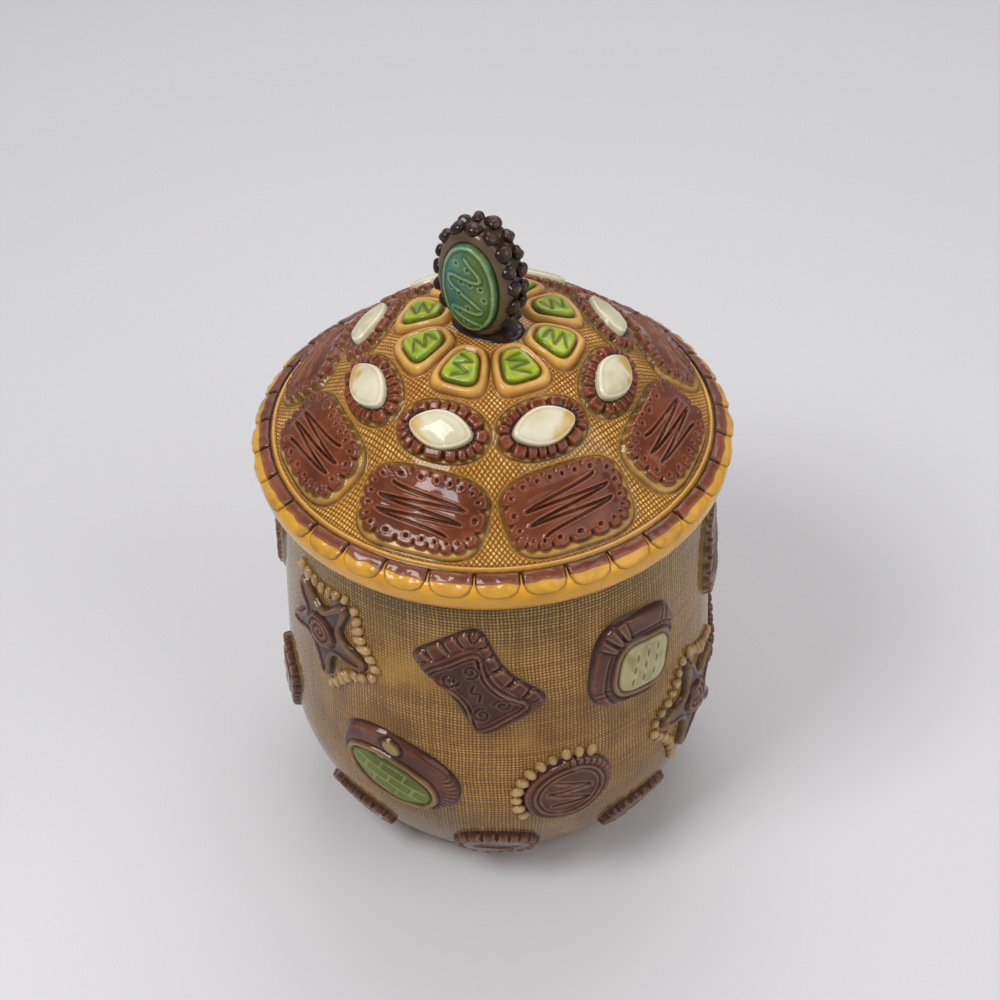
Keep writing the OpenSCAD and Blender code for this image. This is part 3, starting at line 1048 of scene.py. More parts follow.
@dataclass(frozen=True)
class WaistedBiscuit(Biscuit):
    """A waisted biscuit: frilled on two sides, with a doubled line and curls inside it."""

    CURLS = ((-1, 1, 200.0), (1, 1, -20.0), (-1, -1, 150.0), (1, -1, 30.0))
    SCROLL = ((-3.6, 1.6), (-1.2, -1.8), (0.8, 1.4), (3.4, -1.2))

    half_width: float = 21.3
    half_height: float = 17.3
    upper: float = 0.4
    lower: float = 0.34
    thick: float = 2.6
    plate_a: float = 15.6
    plate_b: float = 14.6
    plate_x: float = 2.3
    plate_y: float = -2.6
    curl_x: float = 9.1
    curl_y: float = 4.1
    curl_r: float = 3.1

    def outline(self) -> Outline:
        """The biscuit's outline."""
        return Outline.waisted(self.half_width, self.half_height, self.upper, self.lower)

    def model(self, clay: Clay) -> None:
        """Models the frill, the doubled line and the curls."""
        base = self.begin(clay)
        across, up = clay.flat.T
        side = np.maximum(smoothstep(3.0, 6.0, up), smoothstep(-13.0, -15.5, across))
        inner = Outline.waisted(self.half_width - 0.7, self.half_height - 0.7,
                                self.upper, self.lower)
        frill = Frill(23, stand=1.4, cut=5.2, cut_width=0.4, deep=1.0, wander=0.35, crown=0.25)
        frill.press(clay, inner, 0.6 * self.thick, 1.0, side)
        band = Outline.waisted(self.plate_a + 2.6, self.plate_b + 1.3, 0.44, 0.44)
        depth = clay.inside(band.moved(self.plate_x, self.plate_y))
        clay.plate(depth, 0.34 * self.thick, 0.9, 0.25)
        plate = Outline.waisted(self.plate_a, self.plate_b, 0.56, 0.56)
        depth = clay.inside(plate.moved(self.plate_x, self.plate_y))
        clay.groove(depth + 0.5, 0.4, 0.5)
        clay.ridge(depth - 0.4, 0.32, 0.7, 0.9)
        clay.groove(depth - 1.3, 0.34, 0.5)
        clay.ridge(depth - 2.0, 0.26, 0.3, 0.4)
        clay.gather(0.55 * smoothstep(2.0, 3.3, depth))
        clay.height -= 0.3 * smoothstep(2.2, 3.0, depth)
        for way_x, way_y, start in self.CURLS:
            spot = (self.plate_x + self.curl_x * way_x, self.plate_y + self.curl_y * way_y)
            curl = Stroke.spiral(spot, self.curl_r, 1.7, start, way_x * way_y)
            clay.draw(curl, 0.34, 0.55, 0.3)
        scroll = Stroke(self.SCROLL, 1.6)
        place = np.array([self.plate_x, self.plate_y])
        clay.groove(scroll.distance(clay.flat - place), 0.36, 0.5, 0.2)
        clay.uneven(11.0, 0.14)


@dataclass(frozen=True)
class SquareBiscuit(RoundedBiscuit):
    """A square biscuit with stepped bars on two sides, flutes at their corner and an iced well."""

    half_width: float = 17.0
    half_height: float = 18.5
    power: float = 0.6
    well_a: float = 10.6
    well_b: float = 10.3
    well_x: float = 3.4
    well_y: float = -3.7

    def well(self) -> Outline:
        """The outline of the iced well."""
        return Outline.rounded(self.well_a, self.well_b, 0.55).moved(self.well_x, self.well_y)

    def model(self, clay: Clay) -> None:
        """Models the slab, the bars beside the well, the flutes and the well's pale rim."""
        across, up = clay.flat.T
        depth = self.begin(clay)
        clay.plate(depth, 0.85 * self.thick, 1.1, 0.4)
        well = clay.inside(self.well())
        away = -well
        spoke = clay.flat - np.array([self.well_x, self.well_y])
        bearing = np.degrees(np.arctan2(spoke[:, 1], -spoke[:, 0]))
        corner = smoothstep(31.0, 33.0, bearing) * smoothstep(66.0, 64.0, bearing)
        corner = corner * smoothstep(2.4, 2.9, away)
        clay.groove(away - 2.5, 0.42, 0.75)
        clay.groove(away - 4.6, 0.4, 0.7, 0.14, 1.0 - corner)
        clay.height += 0.35 * smoothstep(4.8, 5.4, away) * smoothstep(0.2, 1.2, depth)
        saw = 5.5 - np.abs(np.mod(bearing - 32.0, 11.0) - 5.5)
        flat = smoothstep(0.3, 1.0, depth)
        clay.groove(np.radians(saw) * np.hypot(*spoke.T), 0.5, 1.1, 0.2, corner * flat)
        for line in (9.0, 11.2):
            clay.groove(np.abs(across - line), 0.32, 0.6, 0.14, smoothstep(9.0, 9.5, up) * flat)
            clay.groove(np.abs(up + line + 1.5), 0.32, 0.6, 0.14,
                        smoothstep(-9.6, -10.1, across) * flat)
        clay.ridge(away - 1.0, 0.55, 0.8, 0.7)
        clay.part = 0.75 * bell(away - 0.9, 0.7)
        clay.gather(smoothstep(-0.3, 0.4, well))
        clay.uneven(11.0, 0.12)


@dataclass(frozen=True)
class SquareIcing(Icing):
    """The cream icing in the square biscuit's well, pricked in rows."""

    home: SquareBiscuit = field(default_factory=SquareBiscuit)
    top: float = 3.8
    step: float = 0.4

    def outline(self) -> Outline:
        """The icing's outline."""
        return self.home.well()

    def model(self, clay: Clay) -> None:
        """Models the crown and its pricks."""
        depth = self.fill(clay, 0.5, 1.0, 0.42, 9.0)
        clay.pool = bell(depth, 0.6)
        clay.thin = 0.5 * bell(depth - 1.3, 0.4)
        for column in (-1, 0, 1):
            for row in (-1, 0, 1):
                place = np.array([self.home.well_x + 4.4 * column + 0.4 * row,
                                  self.home.well_y + 5.0 * row + 0.8 * column])
                away = np.hypot(*((clay.flat - place) * np.array([1.0, 0.26])).T)
                clay.pit(away, 0.46, 0.4)
        clay.pool *= 0.75
        clay.part = smoothstep(0.1, 1.0, clay.drift(7.0))
        clay.uneven(8.0, 0.08)


@dataclass(frozen=True)
class OvalBiscuit(RoundedBiscuit):
    """An oval biscuit with a broad bevelled border round a jelly, and a nut at its edge."""

    half_width: float = 23.0
    half_height: float = 14.7
    power: float = 0.9
    jelly_a: float = 16.3
    jelly_b: float = 8.2
    jelly_x: float = -0.5
    jelly_y: float = -4.3
    notches: float = 52.0

    def well(self) -> Outline:
        """The outline of the jelly."""
        return Outline.rounded(self.jelly_a, self.jelly_b).moved(self.jelly_x, self.jelly_y)

    def model(self, clay: Clay) -> None:
        """Models the border, the nut, the notches at one end and the well's rim."""
        outline = self.outline()
        depth, place = outline.nearest(clay.flat)
        clay.film(depth)
        clay.plate(depth, 0.85 * self.thick, 2.2, 0.3)
        well = clay.inside(self.well())
        clay.groove(well + 2.5, 0.42, 0.6)
        clay.height += 0.4 * self.thick * bell(well + 1.0, 0.9)
        clay.gather(smoothstep(-0.1, 0.6, well))
        nut = turned(clay.flat - np.array([-5.0, 10.4]), 10.0) * np.array([0.66, 1.0])
        crown = 2.9 - np.hypot(*nut.T)
        clay.groove(crown, 0.5, 0.6)
        clay.height += 1.2 * rolled(crown, 2.4)
        clay.part = 0.9 * np.maximum(smoothstep(0.1, 1.2, crown), bell(well + 1.0, 0.7))
        notch = np.abs(np.mod(place * self.notches, 1.0) - 0.5) * outline.length / self.notches
        end = smoothstep(15.0, 17.0, clay.flat[:, 0]) * smoothstep(0.4, 1.0, depth)
        clay.groove(notch, 0.36, 0.6, 0.1, end * (1.0 - smoothstep(3.6, 4.4, depth)))
        clay.uneven(12.0, 0.18)


@dataclass(frozen=True)
class OvalJelly(Icing):
    """The green jelly of the oval biscuit, ruled like brickwork."""

    home: OvalBiscuit = field(default_factory=OvalBiscuit)
    step: float = 0.42

    def outline(self) -> Outline:
        """The jelly's outline."""
        return self.home.well()

    def model(self, clay: Clay) -> None:
        """Models the crown, the raised lines that part it into bricks, and painted shade towards its
        top.
        """
        depth = self.fill(clay, 0.55, 1.0, 0.35, 7.0)
        clay.pool = bell(depth, 0.9)
        across = clay.flat[:, 0] - self.home.jelly_x
        up = clay.flat[:, 1] - self.home.jelly_y
        course = np.floor((up + 6.0) / 4.0)
        level = 2.0 - np.abs(np.mod(up + 6.0, 4.0) - 2.0)
        upright = np.abs(np.mod(across + 4.6 * course, 9.2) - 4.6)
        line = np.minimum(level, upright)
        clear = smoothstep(1.4, 2.2, depth)
        clay.height += 0.3 * bell(line, 0.4) * clear
        clay.thin = 0.7 * bell(line, 0.34) * clear
        clay.gather(0.5 * bell(line - 1.1, 0.45) * clear)
        # Painted shade: the jelly darkens to its second colour towards the top, under the border
        # above it.
        clay.part = smoothstep(-2.0, 6.0, up)
        clay.uneven(9.0, 0.1)


@dataclass(frozen=True)
class RoundBiscuit(RoundedBiscuit):
    """A round-cornered biscuit with a raised oval inside and a zigzag in that."""

    half_width: float = 16.2
    half_height: float = 14.3
    power: float = 0.95

    def model(self, clay: Clay) -> None:
        """Models the edge with its cuts, the oval's two rings and the zigzag."""
        self.begin(clay)
        side = smoothstep(4.0, 8.0, clay.flat[:, 0])
        frill = Frill(36, stand=0.5, cut=2.8, cut_width=0.34, deep=0.8, wander=0.15)
        frill.press(clay, self.inset(0.2, 0.2), 0.78 * self.thick, 1.1, side)
        depth = clay.inside(self.inset(3.8, 3.6))
        clay.groove(depth + 0.8, 0.4, 0.5)
        clay.ridge(depth, 0.45, 0.7, 1.0)
        clay.groove(depth - 1.0, 0.36, 0.6)
        clay.ridge(depth - 1.9, 0.36, 0.5, 0.9)
        line = Stroke.zigzag(4, 7.4, 4.6, -1.4)
        clay.groove(line.distance(turned(clay.flat, 34.0)), 0.42, 0.6, 0.35)
        clay.uneven(11.0, 0.12)


@dataclass(frozen=True)
class DottedBiscuit(RoundedBiscuit):
    """A long biscuit pricked in two rows, with a pinched edge."""

    half_width: float = 19.0
    half_height: float = 12.5
    power: float = 0.7

    def model(self, clay: Clay) -> None:
        """Models the pinched edge, a sunk panel and its pricks."""
        self.begin(clay)
        frill = Frill(22, stand=1.0, cut=2.7)
        frill.press(clay, self.inset(0.8, 0.8), 0.85 * self.thick, 0.9)
        panel = Outline.rounded(self.half_width - 4.6, self.half_height - 4.4, 0.6)
        depth = clay.inside(panel)
        clay.groove(depth, 0.4, 0.5, 0.2)
        for column in range(-2, 3):
            for row in (-1, 1):
                clay.pit(clay.reach((5.0 * column, 2.9 * row)), 0.75, 0.9)
        clay.height += 0.15 * self.thick * smoothstep(0.4, 1.4, depth)
        clay.uneven(11.0, 0.14)


@dataclass(frozen=True)
class FootBiscuit(RoundedBiscuit):
    """One of the biscuits round the foot: lobed all round, with a short zigzag."""

    half_width: float = 15.5
    half_height: float = 11.0
    power: float = 0.9
    thick: float = 2.2

    def model(self, clay: Clay) -> None:
        """Models the pinched edge and the drawing."""
        self.begin(clay)
        frill = Frill(17, stand=1.2, cut=2.8, deep=1.2, prick=2.1, crown=0.3)
        depth = frill.press(clay, self.inset(0.9, 0.9), self.thick, 0.9)
        line = Stroke.zigzag(3, 7.4, 3.4, 0.8, 0.06)
        clay.draw(line, 0.44, 0.8, 0.26, smoothstep(2.6, 3.4, depth))
        clay.uneven(10.0, 0.14)


# ---------------------------------------------------------------- shader groups


class Bench:
    """Adds nodes to a tree and joins them."""

    def __init__(self, tree: bpy.types.NodeTree) -> None:
        """Takes the tree to work on."""
        self.tree = tree

    def node(self, kind: str, **settings: object) -> bpy.types.Node:
        """Adds a node with these settings."""
        made = self.tree.nodes.new(kind)
        for name, value in settings.items():
            setattr(made, name, value)
        return made

    def feed(self, socket: bpy.types.NodeSocket, value: object) -> None:
        """Joins another socket to this one, or sets its value."""
        if isinstance(value, bpy.types.NodeSocket):
            self.tree.links.new(value, socket)
        else:
            socket.default_value = value

    def math(self, operation: str, first: object, second: object = 0.0,
             clamp: bool = False) -> bpy.types.NodeSocket:
        """Adds a Math node.

        Args:
            operation: what it does.
            first, second: sockets or numbers.
            clamp: whether the result stays from 0 to 1.

        Returns:
            Its output.
        """
        made = self.node("ShaderNodeMath", operation=operation, use_clamp=clamp)
        self.feed(made.inputs[0], first)
        self.feed(made.inputs[1], second)
        return made.outputs[0]

    def times(self, first: object, second: object) -> bpy.types.NodeSocket:
        """The product of two sockets or numbers."""
        return self.math("MULTIPLY", first, second)

    def plus(self, first: object, second: object) -> bpy.types.NodeSocket:
        """The sum of two sockets or numbers."""
        return self.math("ADD", first, second)

    def blend(self, share: object, first: object, second: object) -> bpy.types.NodeSocket:
        """Mixes two colours, with that share of the second one."""
        made = self.node("ShaderNodeMix", data_type="RGBA")
        for number, value in ((0, share), (6, first), (7, second)):
            self.feed(made.inputs[number], value)
        return made.outputs[2]

    def ramp(self, value: object, low: float, high: float, start: float = 0.0,
             end: float = 1.0) -> bpy.types.NodeSocket:
        """Adds a smooth step.

        Args:
            value: the socket that it reads.
            low, high: where it begins and ends.
            start, end: its value there.

        Returns:
            Its output.
        """
        made = self.node("ShaderNodeMapRange", interpolation_type="SMOOTHSTEP")
        self.feed(made.inputs[0], value)
        for socket, number in zip(made.inputs[1:5], (low, high, start, end)):
            socket.default_value = number
        return made.outputs[0]

    def wire(self, node: bpy.types.Node, **values: object) -> bpy.types.Node:
        """Feeds a node's inputs by name, with underscores here for the spaces in it."""
        for name, value in values.items():
            self.feed(node.inputs[name.replace("_", " ")], value)
        return node

    def noise(self, vector: object, scale: object, detail: float = 2.0) -> bpy.types.NodeSocket:
        """Adds a noise texture and gives its value."""
        made = self.node("ShaderNodeTexNoise")
        return self.wire(made, Vector=vector, Scale=scale, Detail=detail).outputs[0]

    def attribute(self, name: str) -> bpy.types.NodeSocket:
        """Adds a node that reads one of the mesh's masks."""
        return self.node("ShaderNodeAttribute", attribute_name=name).outputs["Fac"]

    def group(self, tree: bpy.types.NodeTree, **values: object) -> bpy.types.Node:
        """Places a group and feeds its inputs."""
        return self.wire(self.node("ShaderNodeGroup", node_tree=tree), **values)


class Groups:
    """The shader groups that several glazes share, each built once.

    The scales are those of noise textures, in waves to the metre.
    """

    CLOUD_SCALE = 95.0
    FINE_SCALE = 620.0
    SLOW_SCALE = 260.0
    FAST_SCALE = 1100.0
    SWAY_SCALE = 55.0
    WARP_SALT = 3.7
    WEFT_SALT = 41.3

    @staticmethod
    def start(name: str, inputs: dict[str, str],
              outputs: dict[str, str]) -> tuple[Bench, dict, dict]:
        """Starts a group.

        Args:
            name: the group's name.
            inputs, outputs: the kind of each socket, by its name.

        Returns:
            A bench on its tree, its inputs by name and the sockets to feed by name.
        """
        bench = Bench(bpy.data.node_groups.new(name, "ShaderNodeTree"))
        for way, sockets in (("INPUT", inputs), ("OUTPUT", outputs)):
            for label, kind in sockets.items():
                bench.tree.interface.new_socket(name=label, in_out=way,
                                                socket_type="NodeSocket" + kind)
        return (bench, bench.node("NodeGroupInput").outputs,
                bench.node("NodeGroupOutput").inputs)

    @staticmethod
    @cache
    def fired() -> bpy.types.NodeTree:
        """Colour and roughness of a fired glaze, from its colours and the clay's masks."""
        bench, given, wanted = Groups.start(
            "fired_glaze",
            {"Vector": "Vector", "Body": "Color", "Pooled": "Color", "Thin": "Color",
             "Second": "Color", "Pool": "Float", "Edge": "Float", "Part": "Float",
             "Mottle": "Float"},
            {"Color": "Color", "Roughness": "Float"})
        cloud = bench.noise(given["Vector"], Groups.CLOUD_SCALE, 3.0)
        fine = bench.noise(given["Vector"], Groups.FINE_SCALE)
        gathered = bench.times(bench.ramp(cloud, 0.42, 0.7), given["Mottle"])
        worn = bench.times(bench.ramp(cloud, 0.5, 0.3), given["Mottle"])
        edge = bench.times(given["Edge"], bench.ramp(fine, 0.25, 0.6, 0.45, 0.95))
        dark = bench.times(given["Pool"], bench.ramp(fine, 0.2, 0.6, 0.7, 1.0))
        body = given["Body"]
        for share, colour in ((given["Part"], "Second"), (gathered, "Pooled"),
                              (bench.times(worn, 0.6), "Thin"), (edge, "Thin"),
                              (dark, "Pooled")):
            body = bench.blend(share, body, given[colour])
        bench.feed(wanted["Color"], body)
        rough = bench.ramp(fine, 0.3, 0.8, 0.24, 0.4)
        rough = bench.plus(rough, bench.ramp(cloud, 0.3, 0.8, 0.0, 0.08))
        bench.feed(wanted["Roughness"], rough)
        return bench.tree

    @staticmethod
    @cache
    def ripple() -> bpy.types.NodeTree:
        """Height of the slight waves that a run glaze sets in, from 0 to 1."""
        bench, given, wanted = Groups.start("glaze_ripple", {"Vector": "Vector"},
                                            {"Height": "Float"})
        slow = bench.noise(given["Vector"], Groups.SLOW_SCALE)
        fast = bench.times(bench.noise(given["Vector"], Groups.FAST_SCALE, 1.0), 0.1)
        bench.feed(wanted["Height"], bench.plus(slow, fast))
        return bench.tree

    @staticmethod
    @cache
    def woven() -> bpy.types.NodeTree:
        """Height and gaps of a plain hessian weave, whose threads are one unit apart."""
        bench, given, wanted = Groups.start(
            "woven_ground",
            {"Vector": "Vector", "Across": "Float", "Along": "Float", "Stray": "Float"},
            {"Height": "Float", "Gap": "Float", "Thread": "Float"})
        sway = bench.wire(bench.node("ShaderNodeTexNoise"), Vector=given["Vector"],
                          Scale=Groups.SWAY_SCALE, Detail=3.0)
        parts = bench.wire(bench.node("ShaderNodeSeparateColor"), Color=sway.outputs["Color"])
        whole, tops, loads = [], [], []
        for label, stray, salt in (("Across", parts.outputs[0], Groups.WARP_SALT),
                                   ("Along", parts.outputs[1], Groups.WEFT_SALT)):
            pushed = bench.times(bench.math("SUBTRACT", stray, 0.5), given["Stray"])
            thread = bench.plus(given[label], pushed)
            whole.append(bench.math("FLOOR", thread))
            tops.append(bench.math("ABSOLUTE", bench.math("SINE", bench.times(thread, math.pi))))
            lot = bench.wire(bench.node("ShaderNodeTexWhiteNoise", noise_dimensions="1D"),
                             W=bench.plus(whole[-1], salt))
            loads.append(lot.outputs["Value"])
        choice = bench.node("ShaderNodeMix", data_type="FLOAT")
        bench.feed(choice.inputs[0], bench.math("PINGPONG", bench.plus(*whole), 1.0))
        for number, load, (over, under) in ((2, loads[0], tops), (3, loads[1], tops[::-1])):
            crown = bench.times(bench.math("POWER", over, 0.85), bench.math("POWER", under, 0.4))
            bench.feed(choice.inputs[number],
                       bench.times(crown, bench.ramp(load, 0.0, 1.0, 0.72, 1.0)))
        height = choice.outputs[0]
        bench.feed(wanted["Height"], height)
        bench.feed(wanted["Gap"], bench.ramp(height, 0.62, 0.2))
        bench.feed(wanted["Thread"], bench.times(bench.plus(*loads), 0.5))
        return bench.tree


# ---------------------------------------------------------------- glazes


@dataclass(frozen=True)
class Glaze:
    """A fired glaze: its colour where it lies evenly, gathers and thins, and a second colour."""

    name: str
    slot: str
    body: Screen
    pooled: Screen
    thin: Screen
    second: Screen
    mottle: float = 0.35
    ripple: float = 0.00012
    gloss: float = 0.06
    coat: float = 0.7
    glass_ior: float = 1.38
    clay_ior: float = 1.5
    clay_shine: float = 0.1

    def material(self) -> bpy.types.Material:
        """The material, made the first time it is asked for."""
        found = bpy.data.materials.get(self.name)
        if found is not None:
            return found
        made = bpy.data.materials.new(self.name)
        made.use_nodes = True
        bench = Bench(made.node_tree)
        place = bench.node("ShaderNodeTexCoord").outputs["Object"]
        colour, roughness, height, deep = self.dress(bench, place)
        bump = bench.wire(bench.node("ShaderNodeBump"), Strength=1.0, Distance=deep,
                          Height=height)
        bench.wire(made.node_tree.nodes["Principled BSDF"], Base_Color=colour,
                   Roughness=roughness, Normal=bump.outputs["Normal"], IOR=self.clay_ior,
                   Specular_IOR_Level=self.clay_shine, Coat_Weight=self.coat,
                   Coat_Roughness=self.gloss, Coat_IOR=self.glass_ior)
        return made

    def fire(self, bench: Bench, place: bpy.types.NodeSocket, edge: object, part: object,
             body: object) -> bpy.types.Node:
        """Places the shared glaze group with this glaze's colours.

        Args:
            bench: the material's tree.
            place: the piece's own coordinates.
            edge, part: the masks of thin glaze and of the second colour.
            body: the body colour.

        Returns:
            The group.
        """
        return bench.group(Groups.fired(), Vector=place, Body=body, Pooled=tint(*self.pooled),
                           Thin=tint(*self.thin), Second=tint(*self.second),
                           Pool=bench.attribute("pool"), Edge=edge, Part=part,
                           Mottle=self.mottle)

    def dress(self, bench: Bench, place: bpy.types.NodeSocket) -> Dressing:
        """Builds the nodes of the glaze.

        Args:
            bench: the material's tree.
            place: the piece's own coordinates.

        Returns:
            The colour, the roughness, the height of the relief and its depth in metres.
        """
        fired = self.fire(bench, place, bench.attribute("thin"), bench.attribute("part"),
                          tint(*self.body))
        waves = bench.group(Groups.ripple(), Vector=place)
        return (fired.outputs["Color"], fired.outputs["Roughness"], waves.outputs["Height"],
                self.ripple)


class Lay(Enum):
    """How the hessian was pressed on: wrapped round the wall, or laid flat on the dome."""

    ROUND = "round"
    FLAT = "flat"


@dataclass(frozen=True)
class WovenGlaze(Glaze):
    """A glaze over a hessian ground, pale on the threads, where the glaze thins and a highlight is
    painted, and dark between them.
    """

    lay: Lay = Lay.ROUND
    pitch: float = 1.3
    threads_round: int = 372
    stray: float = 1.5
    run_scale: float = 17.0
    level_scale: float = 26.0
    relief: float = 0.0006
    gap: Screen = (100, 64, 22)
    # On the jar the low colour is painted reflection, the wall greyer towards the foot where the
    # pale floor shows in the glaze; on the lid it is the lip's own yellow.
    low: Screen = (156, 118, 76)
    # On the jar the high colour is painted shade, a darker olive band under the lid's overhang; on
    # the lid it is a tone near the top of the dome.
    high: Screen = (120, 106, 62)
    low_at: Pair = (0.012, 0.055)
    high_at: Pair = (0.112, 0.152)

    def threads(self, bench: Bench, xyz: bpy.types.Node) -> tuple[object, object]:
        """The place across and along the weave, counted in threads.

        Args:
            bench: the material's tree.
            xyz: the node that gives the piece's own coordinates one by one.

        Returns:
            The two sockets.
        """
        east, north, height = xyz.outputs
        per_metre = 1.0 / (self.pitch * MM)
        if self.lay is Lay.ROUND:
            turn = bench.math("ARCTAN2", east, bench.times(north, -1.0))
            return (bench.times(turn, self.threads_round / (2.0 * math.pi)),
                    bench.times(height, per_metre))
        diagonal = per_metre / math.sqrt(2.0)
        return (bench.times(bench.plus(east, north), diagonal),
                bench.times(bench.math("SUBTRACT", east, north), diagonal))

    def dress(self, bench: Bench, place: bpy.types.NodeSocket) -> Dressing:
        """Builds the nodes of the weave and of the glaze over it.

        Args:
            bench: the material's tree.
            place: the piece's own coordinates.

        Returns:
            The colour, the roughness, the height of the relief and its depth in metres.
        """
        xyz = bench.wire(bench.node("ShaderNodeSeparateXYZ"), Vector=place)
        across, along = self.threads(bench, xyz)
        weave = bench.group(Groups.woven(), Vector=place, Across=across, Along=along,
                            Stray=self.stray)
        covered = bench.attribute("part")
        run = bench.ramp(bench.noise(place, self.run_scale), 0.58, 0.7, 1.0, 0.35)
        bare = bench.times(bench.math("SUBTRACT", 1.0, covered, clamp=True), run)
        gap = bench.times(weave.outputs["Gap"], bare)
        # The crests take the glaze's thin colour: partly the glaze thinning over the threads, partly
        # a painted highlight.
        crest = bench.times(bench.ramp(weave.outputs["Height"], 0.5, 0.85), bare)
        pale = bench.times(crest, bench.ramp(weave.outputs["Thread"], 0.2, 0.8, 0.3, 1.0))
        edge = bench.math("MAXIMUM", pale, bench.attribute("thin"))
        stray = bench.times(bench.noise(place, self.level_scale, 3.0), 0.05)
        level = bench.plus(xyz.outputs[2], bench.math("SUBTRACT", stray, 0.025))
        # Painted reflection: on the jar the wall greys to the low colour towards the foot; on the
        # lid the low colour is the lip's own yellow below the brim.
        body = bench.blend(bench.ramp(level, *self.low_at, 1.0, 0.0), tint(*self.body),
                           tint(*self.low))
        # Painted shade: on the jar the wall darkens to the high colour under the lid; on the lid the
        # high colour is a tone near the top.
        body = bench.blend(bench.ramp(level, *self.high_at), body, tint(*self.high))
        fired = self.fire(bench, place, edge, covered, body)
        worn = bench.blend(bench.times(gap, 0.9), fired.outputs["Color"], tint(*self.gap))
        waves = bench.group(Groups.ripple(), Vector=place)
        height = bench.plus(bench.times(weave.outputs["Height"], bare),
                            bench.times(waves.outputs["Height"], 0.3))
        return worn, fired.outputs["Roughness"], height, self.relief


COCOA = Glaze("cocoa", "cocoa_glaze", (100, 45, 21), (38, 15, 8), (146, 84, 54),
              (190, 144, 64), 0.4)
COCOA_RIM = Glaze("cocoa_rim", "cocoa_glaze", (110, 58, 40), (48, 22, 14), (156, 100, 68),
                  (202, 150, 52), 0.4)
COCOA_IVORY = Glaze("cocoa_ivory", "cocoa_glaze", (86, 44, 28), (36, 17, 11), (140, 100, 72),
                    (152, 130, 78), 0.4)
CREAM = Glaze("cream", "cream_glaze", (204, 197, 172), (152, 128, 72), (222, 217, 200),
              (186, 150, 66), 0.35)
PUTTY = Glaze("putty", "cream_glaze", (166, 154, 112), (92, 78, 42), (184, 172, 136),
              (148, 136, 90), 0.3)
PIPING = Glaze("piping", "cream_glaze", (160, 126, 80), (76, 52, 28), (192, 164, 120),
               (146, 118, 78), 0.45)
LIME = Glaze("lime", "lime_glaze", (146, 160, 26), (74, 78, 12), (188, 192, 86),
             (112, 142, 30), 0.25)
# MOSS's second colour is painted shade, on the upper part of the oval jellies.
MOSS = Glaze("moss", "lime_glaze", (104, 116, 34), (54, 56, 22), (146, 150, 92),
             (84, 92, 38), 0.25)
CARAMEL = Glaze("caramel", "caramel_glaze", (184, 136, 62), (100, 54, 22), (216, 168, 98),
                (200, 150, 70), 0.3)
TEAL = Glaze("teal", "teal_glaze", (84, 110, 50), (28, 52, 34), (144, 170, 122),
             (50, 106, 94), 0.25)
NIGHT = Glaze("night", "night_glaze", (42, 27, 22), (18, 11, 11), (88, 64, 50),
              (100, 84, 58), 0.35)
# The jar's wall keeps WovenGlaze's defaults, which paint shade under the lid and a reflection of the
# floor near the foot.
OLIVE = WovenGlaze("olive", "olive_glaze", (164, 118, 48), (74, 44, 18), (198, 158, 86),
                   (146, 108, 62), 0.4)
STRAW = WovenGlaze("straw", "straw_glaze", (188, 134, 54), (96, 52, 18), (234, 190, 112),
                   (210, 150, 36), 0.2, lay=Lay.FLAT, gap=(116, 70, 26), low=(200, 142, 44),
                   high=(188, 126, 54), low_at=(0.158, 0.168), high_at=(0.185, 0.2))


# ---------------------------------------------------------------- the two shells


@dataclass
class Footprints:
    """The outlines of the pieces on a ground, for the glaze that gathers round them.

    Distances are measured up to FAR, on points within MARGIN of a piece's reach from its middle
    and within DEEP of its plane.
    """

    FAR = 20.0
    MARGIN = 6.0
    DEEP = 14.0

    marks: list[tuple[Seat, Outline]] = field(default_factory=list)

    def add(self, seat: Seat, outline: Outline) -> None:
        """Notes a piece."""
        self.marks.append((seat, outline))

    def distance(self, points: Array) -> Array:
        """How far points lie from the nearest piece, and below 0 under one."""
        best = np.full(len(points), self.FAR)
        for seat, outline in self.marks:
            size = float(np.hypot(*outline.points.T).max()) + self.MARGIN
            away = points - seat.origin
            close = (np.linalg.norm(away, axis=1) < size) & (np.abs(away @ seat.out) < self.DEEP)
            rows = np.nonzero(close)[0]
            if len(rows):
                depth, _ = outline.nearest(seat.flattened(points[rows]))
                best[rows] = np.minimum(best[rows], -depth)
        return best


